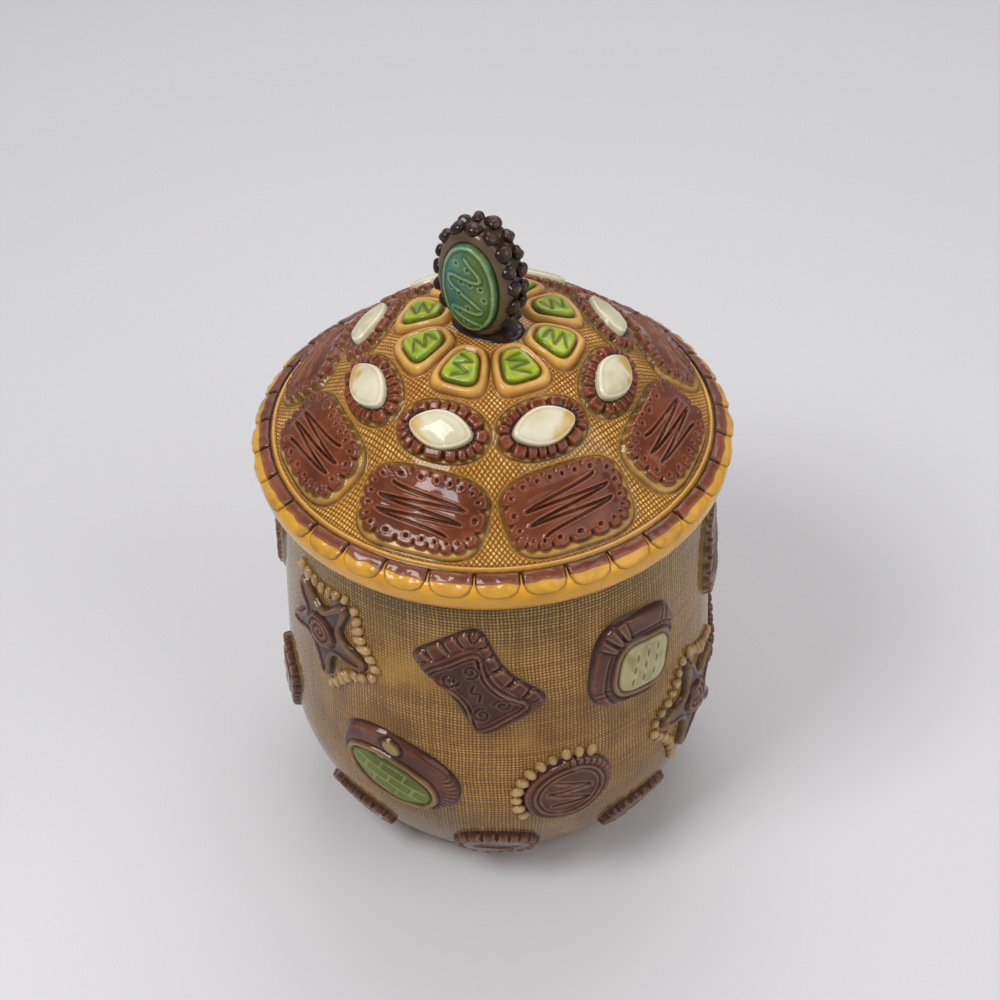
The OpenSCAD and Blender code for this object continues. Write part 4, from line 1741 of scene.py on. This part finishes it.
@dataclass
class JarShell:
    """The jar itself: foot ring, wall, rim and the hollow inside."""

    wall: JarWall
    thick: float = 5.0
    floor_t: float = 7.0
    foot_ring_w: float = 7.0
    foot_ring_h: float = 2.0
    spokes: int = 480
    step: float = 1.1
    corner_r: float = 9.0

    def profile(self) -> list[Pair]:
        """The line that is turned, from the axis under the foot to the axis on the floor."""
        seat, outer = self.wall.seat_z, self.wall.mouth_r - 1.5
        foot_in = self.wall.foot_r - 1.0 - self.foot_ring_w
        line: list[Pair] = [(0.0, self.foot_ring_h), (foot_in - 0.8, self.foot_ring_h),
                            (foot_in - 0.2, 1.6), (foot_in + 0.3, 0.3), (foot_in + 0.9, 0.0),
                            (self.wall.foot_r - 2.0, 0.0), (self.wall.foot_r - 1.0, 0.2)]
        top = seat - 1.5
        heights = np.linspace(1.0, top, round((top - 1.0) / self.step))
        line += list(zip(self.wall.radius(heights).tolist(), heights.tolist()))
        inner = self.wall.mouth_r - self.thick + 1.5
        line += [(outer + 1.3, seat - 0.7), (outer + 0.6, seat - 0.1), (outer, seat),
                 (inner, seat), (inner - 0.6, seat - 0.1), (inner - 1.2, seat - 0.8)]
        inside = np.linspace(top - 1.0, self.floor_t + self.corner_r, 46)
        radii = self.wall.radius(inside) - self.thick
        line += list(zip(radii.tolist(), inside.tolist()))
        corner = float(radii[-1])
        for turn in (18.0, 36.0, 54.0, 72.0, 90.0):
            angle = math.radians(turn)
            line.append((corner - self.corner_r * (1.0 - math.cos(angle)),
                         self.floor_t + self.corner_r * (1.0 - math.sin(angle))))
        return line + [(corner - 20.0, self.floor_t), (0.0, self.floor_t)]

    def build(self, prints: Footprints) -> bpy.types.Object:
        """Makes the shell and glazes it.

        Args:
            prints: the pieces on the wall.

        Returns:
            The shell.
        """
        points, faces = revolved(self.profile(), self.spokes)
        near = prints.distance(points)
        reach = np.hypot(points[:, 0], points[:, 1])
        outside = smoothstep(-2.0, -0.5, reach - self.wall.radius(points[:, 2]))
        woven = outside * smoothstep(3.0, 8.0, points[:, 2])
        woven = woven * smoothstep(self.wall.seat_z - 3.0, self.wall.seat_z - 6.0, points[:, 2])
        woven = woven * smoothstep(0.3, 1.6, near)
        pool = 0.7 * bell(np.maximum(near, 0.0), 0.8) * outside
        shade = 0.25 * smoothstep(-0.4, 1.2, drift(points, 60.0, np.random.default_rng(5)))
        piece = Piece("jar_pot")
        piece.add(Patch(points, faces, np.maximum(pool, shade * outside),
                        np.zeros(len(points)), 1.0 - woven))
        return piece.make("jar", ("jar_shell",), OLIVE)


@dataclass
class LidShell:
    """The lid itself: dome, ridge, brim, rolled lip, and the ring that drops in the mouth."""

    dome: LidDome
    lip_x: float = 77.7
    lip_r: float = 4.0
    lip_up: float = 3.8
    lip_down: float = 8.0
    brim_r: float = 77.5
    thick: float = 5.0
    flange_r: float = 66.5
    flange_in: float = 62.5
    flange_h: float = 8.0
    ridge_r: float = 74.6
    ridge_h: float = 0.8
    edge_in: float = 74.4
    fine_r: float = 73.0
    spokes: int = 440
    step: float = 0.9

    def skin(self) -> list[Pair]:
        """The outer line from the underside of the lip over the brim to the ridge and inwards."""
        seat = self.dome.seat_z
        line: list[Pair] = []
        for turn in range(-144, 67, 6):
            angle = math.radians(turn)
            size = self.lip_up if turn > 0 else self.lip_down
            line.append((self.lip_x + self.lip_r * math.cos(angle), seat + size * math.sin(angle)))
        inner = self.fine_r - 0.6
        radii = np.concatenate([np.linspace(self.brim_r, self.fine_r, 19),
                                np.linspace(inner, 0.0, round(inner / self.step))])
        heights = self.dome.height(radii) + self.ridge_h * bell(radii - self.ridge_r, 0.45)
        return line + list(zip(radii.tolist(), heights.tolist()))

    def profile(self) -> list[Pair]:
        """The whole line that is turned, from the axis inside to the axis on top."""
        seat = self.dome.seat_z
        bottom = seat - self.flange_h
        radii = np.linspace(0.0, self.flange_in - 1.0, 40)
        heights = self.dome.height(radii + 2.5) - self.thick
        line = list(zip(radii.tolist(), heights.tolist()))
        line += [(self.flange_in, float(heights[-1]) - 1.5), (self.flange_in, bottom + 1.0),
                 (self.flange_in + 0.3, bottom + 0.3), (self.flange_in + 1.0, bottom),
                 (self.flange_r - 1.0, bottom), (self.flange_r - 0.3, bottom + 0.3),
                 (self.flange_r, bottom + 1.0), (self.flange_r, seat - 0.3),
                 (self.flange_r + 0.3, seat), (self.edge_in - 0.3, seat),
                 (self.edge_in, seat - 0.3)]
        return line + self.skin()

    def build(self, prints: Footprints) -> bpy.types.Object:
        """Makes the shell and glazes it.

        Args:
            prints: the pieces on the dome.

        Returns:
            The shell.
        """
        points, faces = revolved(self.profile(), self.spokes)
        near = prints.distance(points)
        reach = np.hypot(points[:, 0], points[:, 1])
        on_top = smoothstep(-2.0, -0.6, points[:, 2] - self.dome.height(reach))
        on_top = on_top * smoothstep(-1.0, 0.5, points[:, 2] - self.dome.seat_z)
        ridge = reach - self.ridge_r
        woven = on_top * smoothstep(-0.4, -0.8, ridge) * smoothstep(0.3, 1.4, near)
        pool = 0.8 * bell(np.maximum(near, 0.0), 0.9) * on_top
        rings = bell(ridge - 1.0, 0.7) + 0.8 * bell(ridge + 1.0, 0.4)
        pool = np.maximum(pool, rings * on_top)
        pale = 0.6 * bell(ridge, 0.5) * on_top
        piece = Piece("lid_dome")
        piece.add(Patch(points, faces, pool, pale, 1.0 - woven))
        return piece.make("lid", ("lid_shell", "lid_flange"), STRAW)


@dataclass(frozen=True)
class BrimSeat(Seat):
    """A seat that follows the brim and the lip down, rather than a flat frame."""

    line: Array = field(default_factory=lambda: np.zeros((2, 2)))
    middle: float = 0.0
    azimuth: float = 0.0

    def lay(self, flat: Array) -> tuple[Array, Array]:
        """Bends drawn points over the brim: across runs round it, up runs inwards.

        Args:
            flat: points in the frame.

        Returns:
            The points on the brim and its normals there.
        """
        steps = np.hypot(*np.diff(self.line, axis=0).T)
        places = np.concatenate([[0.0], np.cumsum(steps)])

        def along(shift: float) -> Array:
            """The place on the profile that far from each point."""
            wanted = self.middle + flat[:, 1] + shift
            return np.stack([np.interp(wanted, places, self.line[:, 0]),
                             np.interp(wanted, places, self.line[:, 1])])

        radius, height = along(0.0)
        run_r, run_z = along(0.15) - along(-0.15)
        size = np.hypot(run_r, run_z)
        out_r, out_z = run_z / size, -run_r / size
        angle = math.radians(self.azimuth) + flat[:, 0] / radius
        points = np.stack([radius * np.sin(angle), -radius * np.cos(angle), height], axis=1)
        normals = np.stack([out_r * np.sin(angle), -out_r * np.cos(angle), out_z], axis=1)
        return points, normals


@dataclass(frozen=True)
class Scallop(Biscuit):
    """A tile of the brim, brown above, and rounded and yellow where it hangs over the lip."""

    half_width: float = 7.15
    inner: float = 2.0
    outer: float = -6.7
    thick: float = 0.95
    apron: float = 0.1
    step: float = 0.42
    sink: float = 0.5

    def outline(self) -> Outline:
        """A tile with a straight inner side and a round outer one."""
        half = [(0.0, self.inner), (-self.half_width, self.inner), (-self.half_width, -2.4),
                (-0.86 * self.half_width, -4.9), (-0.5 * self.half_width, self.outer + 0.3)]
        line = half + [(0.0, self.outer)] + [(-across, up) for across, up in half[:0:-1]]
        return Outline(np.array(line)).resampled(64).softened(2).resampled(96)

    def model(self, clay: Clay) -> None:
        """Models the tile, its brown part standing above the yellow one."""
        depth = clay.inside(self.outline())
        up = clay.flat[:, 1] + 0.3 * clay.drift(8.0)
        low = smoothstep(-1.7, -2.5, up)
        clay.height += 0.05 + self.thick * rolled(depth, 1.1) * (1.0 - 0.3 * low)
        clay.pool = bell(depth, 0.75 - 0.25 * low) * (1.0 - 0.35 * low)
        # The pale line along the brown part's lower edge is a painted highlight on a step where the
        # glaze also thins; the pale line inside the tile's rolled edge is the glaze thinning.
        clay.thin = 0.5 * bell(up + 1.6, 0.5) + 0.4 * bell(depth - 1.1, 0.4) * (1.0 - low)
        clay.part = low
        clay.height += 0.16 * clay.drift(5.0) * smoothstep(0.4, 1.2, depth)


# ---------------------------------------------------------------- assemblies


@dataclass
class LidRelief:
    """Everything stuck on the lid, but for the knob."""

    dome: LidDome
    long_ring_r: float = 61.5
    frill_ring_r: float = 42.0
    pad_ring_r: float = 22.5
    scallops: int = 33
    long: LongBiscuit = field(default_factory=LongBiscuit)
    frilled: FrilledBiscuit = field(default_factory=FrilledBiscuit)
    drop: IcedDrop = field(default_factory=IcedDrop)
    pad: Pad = field(default_factory=Pad)
    jelly: Jelly = field(default_factory=Jelly)
    tile: Scallop = field(default_factory=Scallop)

    def seats(self, radius: float) -> list[Seat]:
        """The eight places of a ring."""
        return [self.dome.seat(radius, ROW_STEP * (i + 0.5)) for i in range(RING_COUNT)]

    def footprints(self) -> Footprints:
        """The outlines of the pieces that lie on the dome itself."""
        prints = Footprints()
        for radius, kind in ((self.long_ring_r, self.long), (self.frill_ring_r, self.frilled),
                             (self.pad_ring_r, self.pad)):
            for seat in self.seats(radius):
                prints.add(seat, kind.outline())
        return prints

    def build(self, shell: LidShell) -> None:
        """Makes the rings of like pieces and the scallops."""
        for number, (name, node, kind, radius, glaze) in enumerate((
                ("long_biscuits", "lid_long_biscuits", self.long, self.long_ring_r, COCOA),
                ("frilled_biscuits", "lid_frilled_biscuits", self.frilled, self.frill_ring_r,
                 COCOA),
                ("iced_drops", "lid_iced_drops", self.drop, self.frill_ring_r, CREAM),
                ("caramel_pads", "lid_pads", self.pad, self.pad_ring_r, CARAMEL),
                ("lime_jellies", "lid_jellies", self.jelly, self.pad_ring_r, LIME)), 1):
            piece = Piece(name)
            for i, seat in enumerate(self.seats(radius)):
                piece.add(kind.patch(seat, 100 * number + i, mirrored=i % 2 == 0))
            piece.make("lid", (node,), glaze)
        line = np.array(shell.skin())
        places = np.concatenate([[0.0], np.cumsum(np.hypot(*np.diff(line, axis=0).T))])
        brim = int(np.argmin(np.abs(line[:, 0] - shell.brim_r) + (line[:, 1] < self.dome.seat_z)))
        base = self.dome.seat(shell.brim_r, 0.0)
        piece = Piece("brim_scallops")
        for i in range(self.scallops):
            seat = BrimSeat(self.dome, base.origin, base.across, base.up, base.out, line=line,
                            middle=float(places[brim]), azimuth=360.0 * i / self.scallops)
            piece.add(self.tile.patch(seat, 600 + i))
        piece.make("lid", ("lid_scallops",), COCOA_RIM)


@dataclass(frozen=True)
class Row:
    """Like biscuits on the jar: their kind, place and finish."""

    name: str
    node: str
    kind: Biscuit
    height: float
    azimuth: float
    turn: float
    glaze: Glaze = COCOA_IVORY
    every: int = 4
    grounded: bool = True
    mirrored: bool = False

    def seats(self, wall: JarWall) -> list[Seat]:
        """Their places on the wall."""
        return [wall.seat(self.height, self.azimuth + ROW_STEP * i, self.turn)
                for i in range(0, RING_COUNT, self.every)]


@dataclass
class JarRelief:
    """Everything stuck on the jar."""

    wall: JarWall
    upper_z: float = 107.0
    middle_z: float = 61.0
    lower_z: float = 23.0
    upper_az: float = -6.0
    middle_az: float = 16.0
    lower_az: float = -3.0
    pip_r: float = 1.9
    ring_a: float = 18.7
    ring_b: float = 16.8
    ring_from: float = 34.0
    ring_step: float = 15.0
    ring_pips: int = 11

    def rows(self) -> list[Row]:
        """All kinds of biscuits on the jar."""
        upper, middle = self.upper_z, self.middle_z
        upper_az, middle_az = self.upper_az, self.middle_az
        square = upper + 1.5, upper_az + ROW_STEP - 2.5, -9.0
        oval = middle + 2.5, middle_az - ROW_STEP + 0.5, -21.0
        tall = LongBiscuit(half_width=20.0, half_height=13.5, thick=2.6, lobes=22)
        return [
            Row("star_biscuits", "jar_star_biscuits", StarBiscuit(), upper + 5.0,
                upper_az - ROW_STEP - 0.7, 38.0),
            Row("star_biscuits", "jar_star_biscuits", StarBiscuit(), middle + 2.0,
                middle_az + ROW_STEP, -61.0, mirrored=True),
            Row("waisted_biscuits", "jar_waisted_biscuits", WaistedBiscuit(), upper + 5.5,
                upper_az + 0.5, -56.0),
            Row("square_biscuits", "jar_square_biscuits", SquareBiscuit(), *square),
            Row("square_icings", "jar_square_icings", SquareIcing(), *square, PUTTY,
                grounded=False),
            Row("tall_biscuits", "jar_long_biscuits", tall, upper + 6.0,
                upper_az + 2.0 * ROW_STEP, 70.0),
            Row("oval_biscuits", "jar_oval_biscuits", OvalBiscuit(), *oval),
            Row("oval_jellies", "jar_oval_jellies", OvalJelly(), *oval, MOSS, grounded=False),
            Row("round_biscuits", "jar_round_biscuits", RoundBiscuit(), middle - 4.0,
                middle_az + 0.5, 30.0),
            Row("dotted_biscuits", "jar_dotted_biscuits", DottedBiscuit(), middle - 6.0,
                middle_az - 2.0 * ROW_STEP - 8.0, 62.0),
            Row("foot_biscuits", "jar_foot_biscuits", FootBiscuit(), self.lower_z,
                self.lower_az, 0.0, every=1),
        ]

    def footprints(self) -> Footprints:
        """The outlines of the pieces that lie on the wall itself."""
        prints = Footprints()
        for row in self.rows():
            if row.grounded:
                outline = row.kind.outline()
                for seat in row.seats(self.wall):
                    prints.add(seat, outline.mirrored() if row.mirrored else outline)
        return prints

    def star_pips(self) -> list[Triple]:
        """The bearing, the distance and the stretch of the beads along a star's three dents."""
        fan = [(0.0, 18.5, 1.3)]
        for turn, reach, long in ((11.5, 19.3, 1.3), (21.0, 21.3, 1.12), (30.0, 23.6, 1.05)):
            fan += [(turn, reach, long), (-turn, reach, long)]
        return [(dent + turn, reach, long) for dent in (54.0, -18.0, -90.0)
                for turn, reach, long in fan]

    def round_pips(self) -> list[Triple]:
        """The bearing, the distance and the stretch of the beads round a round biscuit."""
        found = []
        for i in range(self.ring_pips):
            angle = math.radians(self.ring_from + self.ring_step * i)
            across, up = self.ring_a * math.cos(angle), self.ring_b * math.sin(angle)
            found.append((math.degrees(math.atan2(up, across)), math.hypot(across, up), 1.15))
        return found

    def pips(self, name: str, node: str, rows: list[Row], places: list[Triple],
             seed: int) -> None:
        """Makes the piped beads beside some biscuits.

        Args:
            name: the piece's name.
            node: the CAD node that it stands for.
            rows: the biscuits.
            places: the beads' bearings, distances and stretches.
            seed: what makes the beads uneven.
        """
        rng = np.random.default_rng(seed)
        piece = Piece(name)
        for row in rows:
            hand = -1.0 if row.mirrored else 1.0
            for seat in row.seats(self.wall):
                for bearing, reach, long in places:
                    angle = math.radians(bearing)
                    way = np.array([hand * math.cos(angle), math.sin(angle)])
                    base, normals = seat.lay(reach * way[None])
                    out = normals[0]
                    along = way[0] * seat.across + way[1] * seat.up
                    along -= (along @ out) * out
                    along /= np.linalg.norm(along)
                    axes = np.stack([along, np.cross(out, along), out])
                    size = self.pip_r * rng.uniform(0.88, 1.14)
                    sizes = (1.08 * long * size, 0.94 * size, 0.95 * size)
                    piece.add(lump(base[0] + 0.2 * out, axes, sizes, rng, rows=10, columns=18,
                                   uneven=0.09))
        piece.make("jar", (node,), PIPING)

    def build(self) -> None:
        """Makes all the biscuits and beads."""
        rows = self.rows()
        pieces: dict[str, Piece] = {}
        for number, row in enumerate(rows):
            piece = pieces.setdefault(row.name, Piece(row.name))
            for i, seat in enumerate(row.seats(self.wall)):
                piece.add(row.kind.patch(seat, 1000 + 20 * number + i, row.mirrored))
        for name, piece in pieces.items():
            row = next(row for row in rows if row.name == name)
            piece.make("jar", (row.node,), row.glaze)
        self.pips("star_piping", "jar_star_pips", rows[:2], self.star_pips(), 71)
        around = [row for row in rows if row.name == "round_biscuits"]
        self.pips("round_piping", "jar_round_pips", around, self.round_pips(), 72)


@dataclass(frozen=True)
class KnobIcing(RoundedBiscuit):
    """The green icing on a face of the knob: a rolled rim, a squiggle and pricks."""

    SQUIGGLE = ((-0.4, 12.0), (5.4, 6.2), (4.6, 4.0), (-6.6, 5.0), (-7.0, 1.4), (5.4, -6.0),
                (4.8, -8.4), (-5.8, -7.4), (-5.8, -10.0), (4.6, -12.8))
    PRICKS = ((-3.8, 9.4), (0.6, 8.2), (-1.8, 2.9), (1.6, 2.7), (5.2, 2.0), (-5.9, -0.6),
              (-2.6, -1.6), (0.4, -7.0), (-3.0, -9.2), (4.8, -6.4), (6.4, -1.9), (-0.8, -13.4))

    half_width: float = 10.4
    half_height: float = 16.8
    power: float = 0.97
    crown: float = 3.5
    apron: float = 0.0
    step: float = 0.4
    sink: float = 0.6

    def model(self, clay: Clay) -> None:
        """Models the crown, the rim, the squiggle and the pricks."""
        depth = clay.inside(self.outline())
        clay.height += 0.45 * self.crown * rolled(depth, 1.3)
        clay.height += 0.5 * self.crown * rolled(depth, self.half_width)
        clay.ridge(depth - 1.0, 0.42, 0.3, 0.95)
        clay.groove(depth - 2.1, 0.4, 0.2)
        clay.pool = np.maximum(0.6 * clay.pool, bell(depth, 0.45))
        clay.ridge(Stroke(self.SQUIGGLE, 2.4).distance(clay.flat), 0.5, 0.45, 0.8)
        for place in self.PRICKS:
            clay.pit(clay.reach(place), 0.62, 0.35)
        side = -clay.flat[:, 0] + 1.5 * clay.drift(14.0)
        clay.part = smoothstep(-3.0, 5.0, side) * smoothstep(-15.0, -4.0, clay.flat[:, 1])
        clay.uneven(9.0, 0.06)


@dataclass(frozen=True)
class KnobFoot(RoundedBiscuit):
    """The clay that was smoothed round the knob's foot."""

    half_width: float = 13.0
    half_height: float = 8.6
    power: float = 0.95
    rise: float = 5.2
    apron: float = 0.0

    def model(self, clay: Clay) -> None:
        """Models a mound that runs out on the dome."""
        depth = clay.inside(self.outline())
        share = np.clip(depth / self.half_height, 0.0, 1.0)
        clay.height += 0.25 * rolled(depth, 0.7) + self.rise * share ** 1.4
        clay.pool = bell(depth, 0.6)
        clay.uneven(6.0, 0.25)


@dataclass
class Knob:
    """The knob: a thick iced biscuit on its edge, with two rows of beads."""

    # Its edge from the front face round to the back one: how far inwards, and how deep.
    EDGE = ((6.4, -6.2), (4.9, -6.3), (4.2, -6.9), (3.2, -7.1), (2.2, -6.9), (1.2, -6.3),
            (0.4, -5.4), (0.0, -4.4), (0.2, -3.0), (0.7, -1.9), (0.9, -0.5), (0.7, 0.9),
            (0.2, 2.0), (0.0, 3.4), (0.4, 4.4), (1.2, 5.3), (2.2, 5.9), (3.2, 6.1),
            (4.2, 5.9), (4.9, 5.3), (6.4, 5.2))

    dome: LidDome
    azimuth: float = -33.0
    shift: float = 1.5
    centre_z: float = 224.0
    half_width: float = 14.3
    half_height: float = 20.6
    front: float = 7.0
    thick: float = 13.0
    bead_r: float = 2.6
    beads: int = 17
    bare_share: float = 0.78
    taper: float = 0.1
    spokes: int = 180

    def frame(self) -> tuple[Array, Array, Array, Array]:
        """The knob's centre, its way to the right, its way to the back and its way up."""
        angle = math.radians(self.azimuth)
        right = np.array([math.cos(angle), math.sin(angle), 0.0])
        back = np.array([-math.sin(angle), math.cos(angle), 0.0])
        return (np.array([-self.shift, 0.0, self.centre_z]), right, back,
                np.array([0.0, 0.0, 1.0]))

    def place(self, across: Array, deep: Array, up: Array) -> Array:
        """Points in space from the knob's own coordinates, slimmer towards the back."""
        centre, right, back, high = self.frame()
        share = (deep + self.front) / self.thick
        slim = 1.0 - self.taper * np.clip(share, 0.0, 1.0)
        low = 1.0 - 0.35 * self.taper * np.clip(share, 0.0, 1.0)
        return (centre + (across * slim)[:, None] * right + deep[:, None] * back
                + (up * low)[:, None] * high)

    def build(self) -> None:
        """Makes the biscuit, its icings and its beads."""
        self.build_biscuit()
        self.build_icings()
        self.build_beads()

    def build_biscuit(self) -> None:
        """Makes the biscuit and its foot as one piece."""
        edge = Outline.rounded(self.half_width, self.half_height, 0.97)
        rng = np.random.default_rng(81)
        rings, pool, thin, part = [], [], [], []
        for inset, deep in self.EDGE:
            ring = edge.grown(-inset).resampled(self.spokes).points
            rings.append(self.place(ring[:, 0], np.full(self.spokes, deep), ring[:, 1]))
            waist = math.exp(-((deep + 0.5) / 2.2) ** 2) if inset < 1.0 else 0.0
            crease = 1.0 if inset > 4.0 else 0.0
            pool.append(max(0.6 * waist, crease))
            thin.append(0.75 if 0.3 < inset < 1.3 else 0.0)
            part.append(0.8 if 1.0 < inset < 4.0 else 0.1)
        skin = np.concatenate(rings)
        skin += 0.12 * drift(skin, 7.0, rng)[:, None] * (skin - self.frame()[0]) / 20.0
        ends = self.place(np.zeros(2), np.array([self.EDGE[0][1], self.EDGE[-1][1]]), np.zeros(2))
        points = np.concatenate([ends[:1], skin, ends[1:]])
        masks = [np.concatenate([[end], np.repeat(mask, self.spokes), [end]])
                 for mask, end in ((pool, 1.0), (thin, 0.0), (part, 0.0))]
        piece = Piece("knob_biscuit_body")
        piece.add(Patch(points, capped_faces(len(self.EDGE), self.spokes), *masks))
        _, right, back, high = self.frame()
        seat = Seat(self.dome, self.dome.seat(0.3, -90.0).origin, right, back, high)
        piece.add(KnobFoot().patch(seat, 82))
        piece.make("lid", ("knob_biscuit",), NIGHT)

    def build_icings(self) -> None:
        """Makes the icing on each face."""
        centre, right, back, high = self.frame()
        for name, node, deep, out, across in (
                ("front_icing", "knob_icing_front", -self.front + 0.4, -back, right),
                ("back_icing", "knob_icing_back", self.thick - self.front - 0.4, back, -right)):
            point = centre + deep * back
            seat = Seat(Slab(point, out), point, across, high, out)
            piece = Piece(name)
            slim = 1.0 if out is not back else 1.0 - self.taper
            kind = KnobIcing(half_width=slim * KnobIcing.half_width)
            piece.add(kind.patch(seat, 83))
            piece.make("lid", (node,), TEAL)

    def build_beads(self) -> None:
        """Makes the two rows of beads on the edge."""
        edge = Outline.rounded(self.half_width, self.half_height, 0.95).resampled(2 * self.beads)
        _, right, back, high = self.frame()
        rng = np.random.default_rng(84)
        for name, node, deep, first in (
                ("front_beads", "knob_beads_front", -self.front + self.bead_r + 0.4, 0),
                ("back_beads", "knob_beads_back", self.thick - self.front - self.bead_r - 0.4, 1)):
            piece = Piece(name)
            for i in range(first, 2 * self.beads, 2):
                spot = (edge.points[i] + edge.points[(i + 1) % (2 * self.beads)]) / 2.0
                if spot[1] < -self.bare_share * self.half_height:
                    continue
                away = spot / np.array([self.half_width ** 2, self.half_height ** 2])
                away /= np.hypot(*away)
                out = away[0] * right + away[1] * high
                axes = np.stack([np.cross(back, out), back, out])
                size = self.bead_r * rng.uniform(0.84, 1.04)
                centre = self.place(spot[:1], np.array([deep + rng.uniform(-0.3, 0.3)]), spot[1:])[0]
                sizes = (1.1 * size, 1.02 * size, 0.9 * size)
                piece.add(lump(centre - 0.1 * out, axes, sizes, rng, rows=14, columns=22,
                               uneven=0.14))
            piece.make("lid", (node,), NIGHT)


# ---------------------------------------------------------------- studio


@dataclass
class Studio:
    """A plain pale floor, soft light and the portrait's camera."""

    lens: float = 79.2
    pitch: float = 42.22
    yaw: float = 0.18
    roll: float = -1.83
    sensor: float = 36.0
    eye: Triple = (0.0, -0.57445, 0.64708)
    aim: Triple = (0.0, 0.0, 0.11)
    floor: Screen = (204, 203, 206)
    floor_half: float = 30.0
    floor_rough: float = 0.55
    sky: Screen = (226, 225, 224)
    sky_power: float = 0.5

    def build(self) -> None:
        """Makes the floor, the lamps, the world and the camera."""
        self.build_floor()
        self.build_camera()
        self.build_lamp("key_lamp", place=(-0.5, -0.4, 1.0), size=0.4, power=7.5)
        self.build_lamp("fill_lamp", place=(0.9, -0.6, 0.8), size=1.1, power=6.5)
        self.build_lamp("top_lamp", place=(0.1, 0.6, 1.1), size=0.9, power=5.5)
        world = bpy.data.worlds.new("studio")
        bpy.context.scene.world = world
        world.use_nodes = True
        Bench(world.node_tree).wire(world.node_tree.nodes["Background"], Color=tint(*self.sky),
                                    Strength=self.sky_power)
        bpy.context.scene.view_settings.view_transform = "Standard"

    def build_floor(self) -> None:
        """Makes the floor."""
        mesh = bpy.data.meshes.new("floor")
        corners = [(self.floor_half * across, self.floor_half * along, 0.0)
                   for across, along in ((-1, -1), (1, -1), (1, 1), (-1, 1))]
        mesh.from_pydata(corners, [], [(0, 1, 2, 3)])
        material = bpy.data.materials.new("floor")
        material.use_nodes = True
        bench = Bench(material.node_tree)
        place = bench.node("ShaderNodeTexCoord").outputs["Object"]
        plain = tint(*self.floor)
        dim = tuple(0.97 * value for value in plain[:3]) + (1.0,)
        bench.wire(material.node_tree.nodes["Principled BSDF"], Roughness=self.floor_rough,
                   Base_Color=bench.blend(bench.noise(place, 3.0), plain, dim))
        mesh.materials.append(material)
        floor = bpy.data.objects.new("floor", mesh)
        bpy.context.scene.collection.objects.link(floor)

    def build_camera(self) -> None:
        """Makes the camera."""
        pitch, yaw, roll = (math.radians(value) for value in (self.pitch, self.yaw, self.roll))
        ahead = Vector((math.sin(yaw) * math.cos(pitch), math.cos(yaw) * math.cos(pitch),
                        -math.sin(pitch)))
        right = Vector((math.cos(yaw), -math.sin(yaw), 0.0))
        up = right.cross(ahead)
        right, up = (right * math.cos(roll) + up * math.sin(roll),
                     up * math.cos(roll) - right * math.sin(roll))
        data = bpy.data.cameras.new("portrait")
        data.lens = self.lens
        data.sensor_width = self.sensor
        data.clip_start = 0.01
        camera = bpy.data.objects.new("portrait", data)
        camera.matrix_world = Matrix.Translation(self.eye) @ Matrix(
            (right, up, -ahead)).transposed().to_4x4()
        bpy.context.scene.collection.objects.link(camera)
        bpy.context.scene.camera = camera

    def build_lamp(self, name: str, place: Triple, size: float, power: float) -> None:
        """Makes a soft lamp that looks at the jar.

        Args:
            name: its name.
            place: where it hangs.
            size: the side of its square.
            power: in watts.
        """
        data = bpy.data.lights.new(name, "AREA")
        data.size = size
        data.energy = power
        lamp = bpy.data.objects.new(name, data)
        lamp.location = place
        aim = Vector(self.aim) - Vector(place)
        lamp.rotation_euler = aim.to_track_quat("-Z", "Y").to_euler()
        bpy.context.scene.collection.objects.link(lamp)


def main() -> None:
    """Builds the jar, the lid, the knob and the studio, in that order."""
    logging.basicConfig(level=logging.INFO, format="%(name)s: %(message)s")
    wall, dome = JarWall(), LidDome()
    Studio().build()
    jar_relief = JarRelief(wall)
    JarShell(wall).build(jar_relief.footprints())
    jar_relief.build()
    lid_relief = LidRelief(dome)
    lid_shell = LidShell(dome)
    lid_shell.build(lid_relief.footprints())
    lid_relief.build(lid_shell)
    Knob(dome).build()


if __name__ == "__main__":
    main()
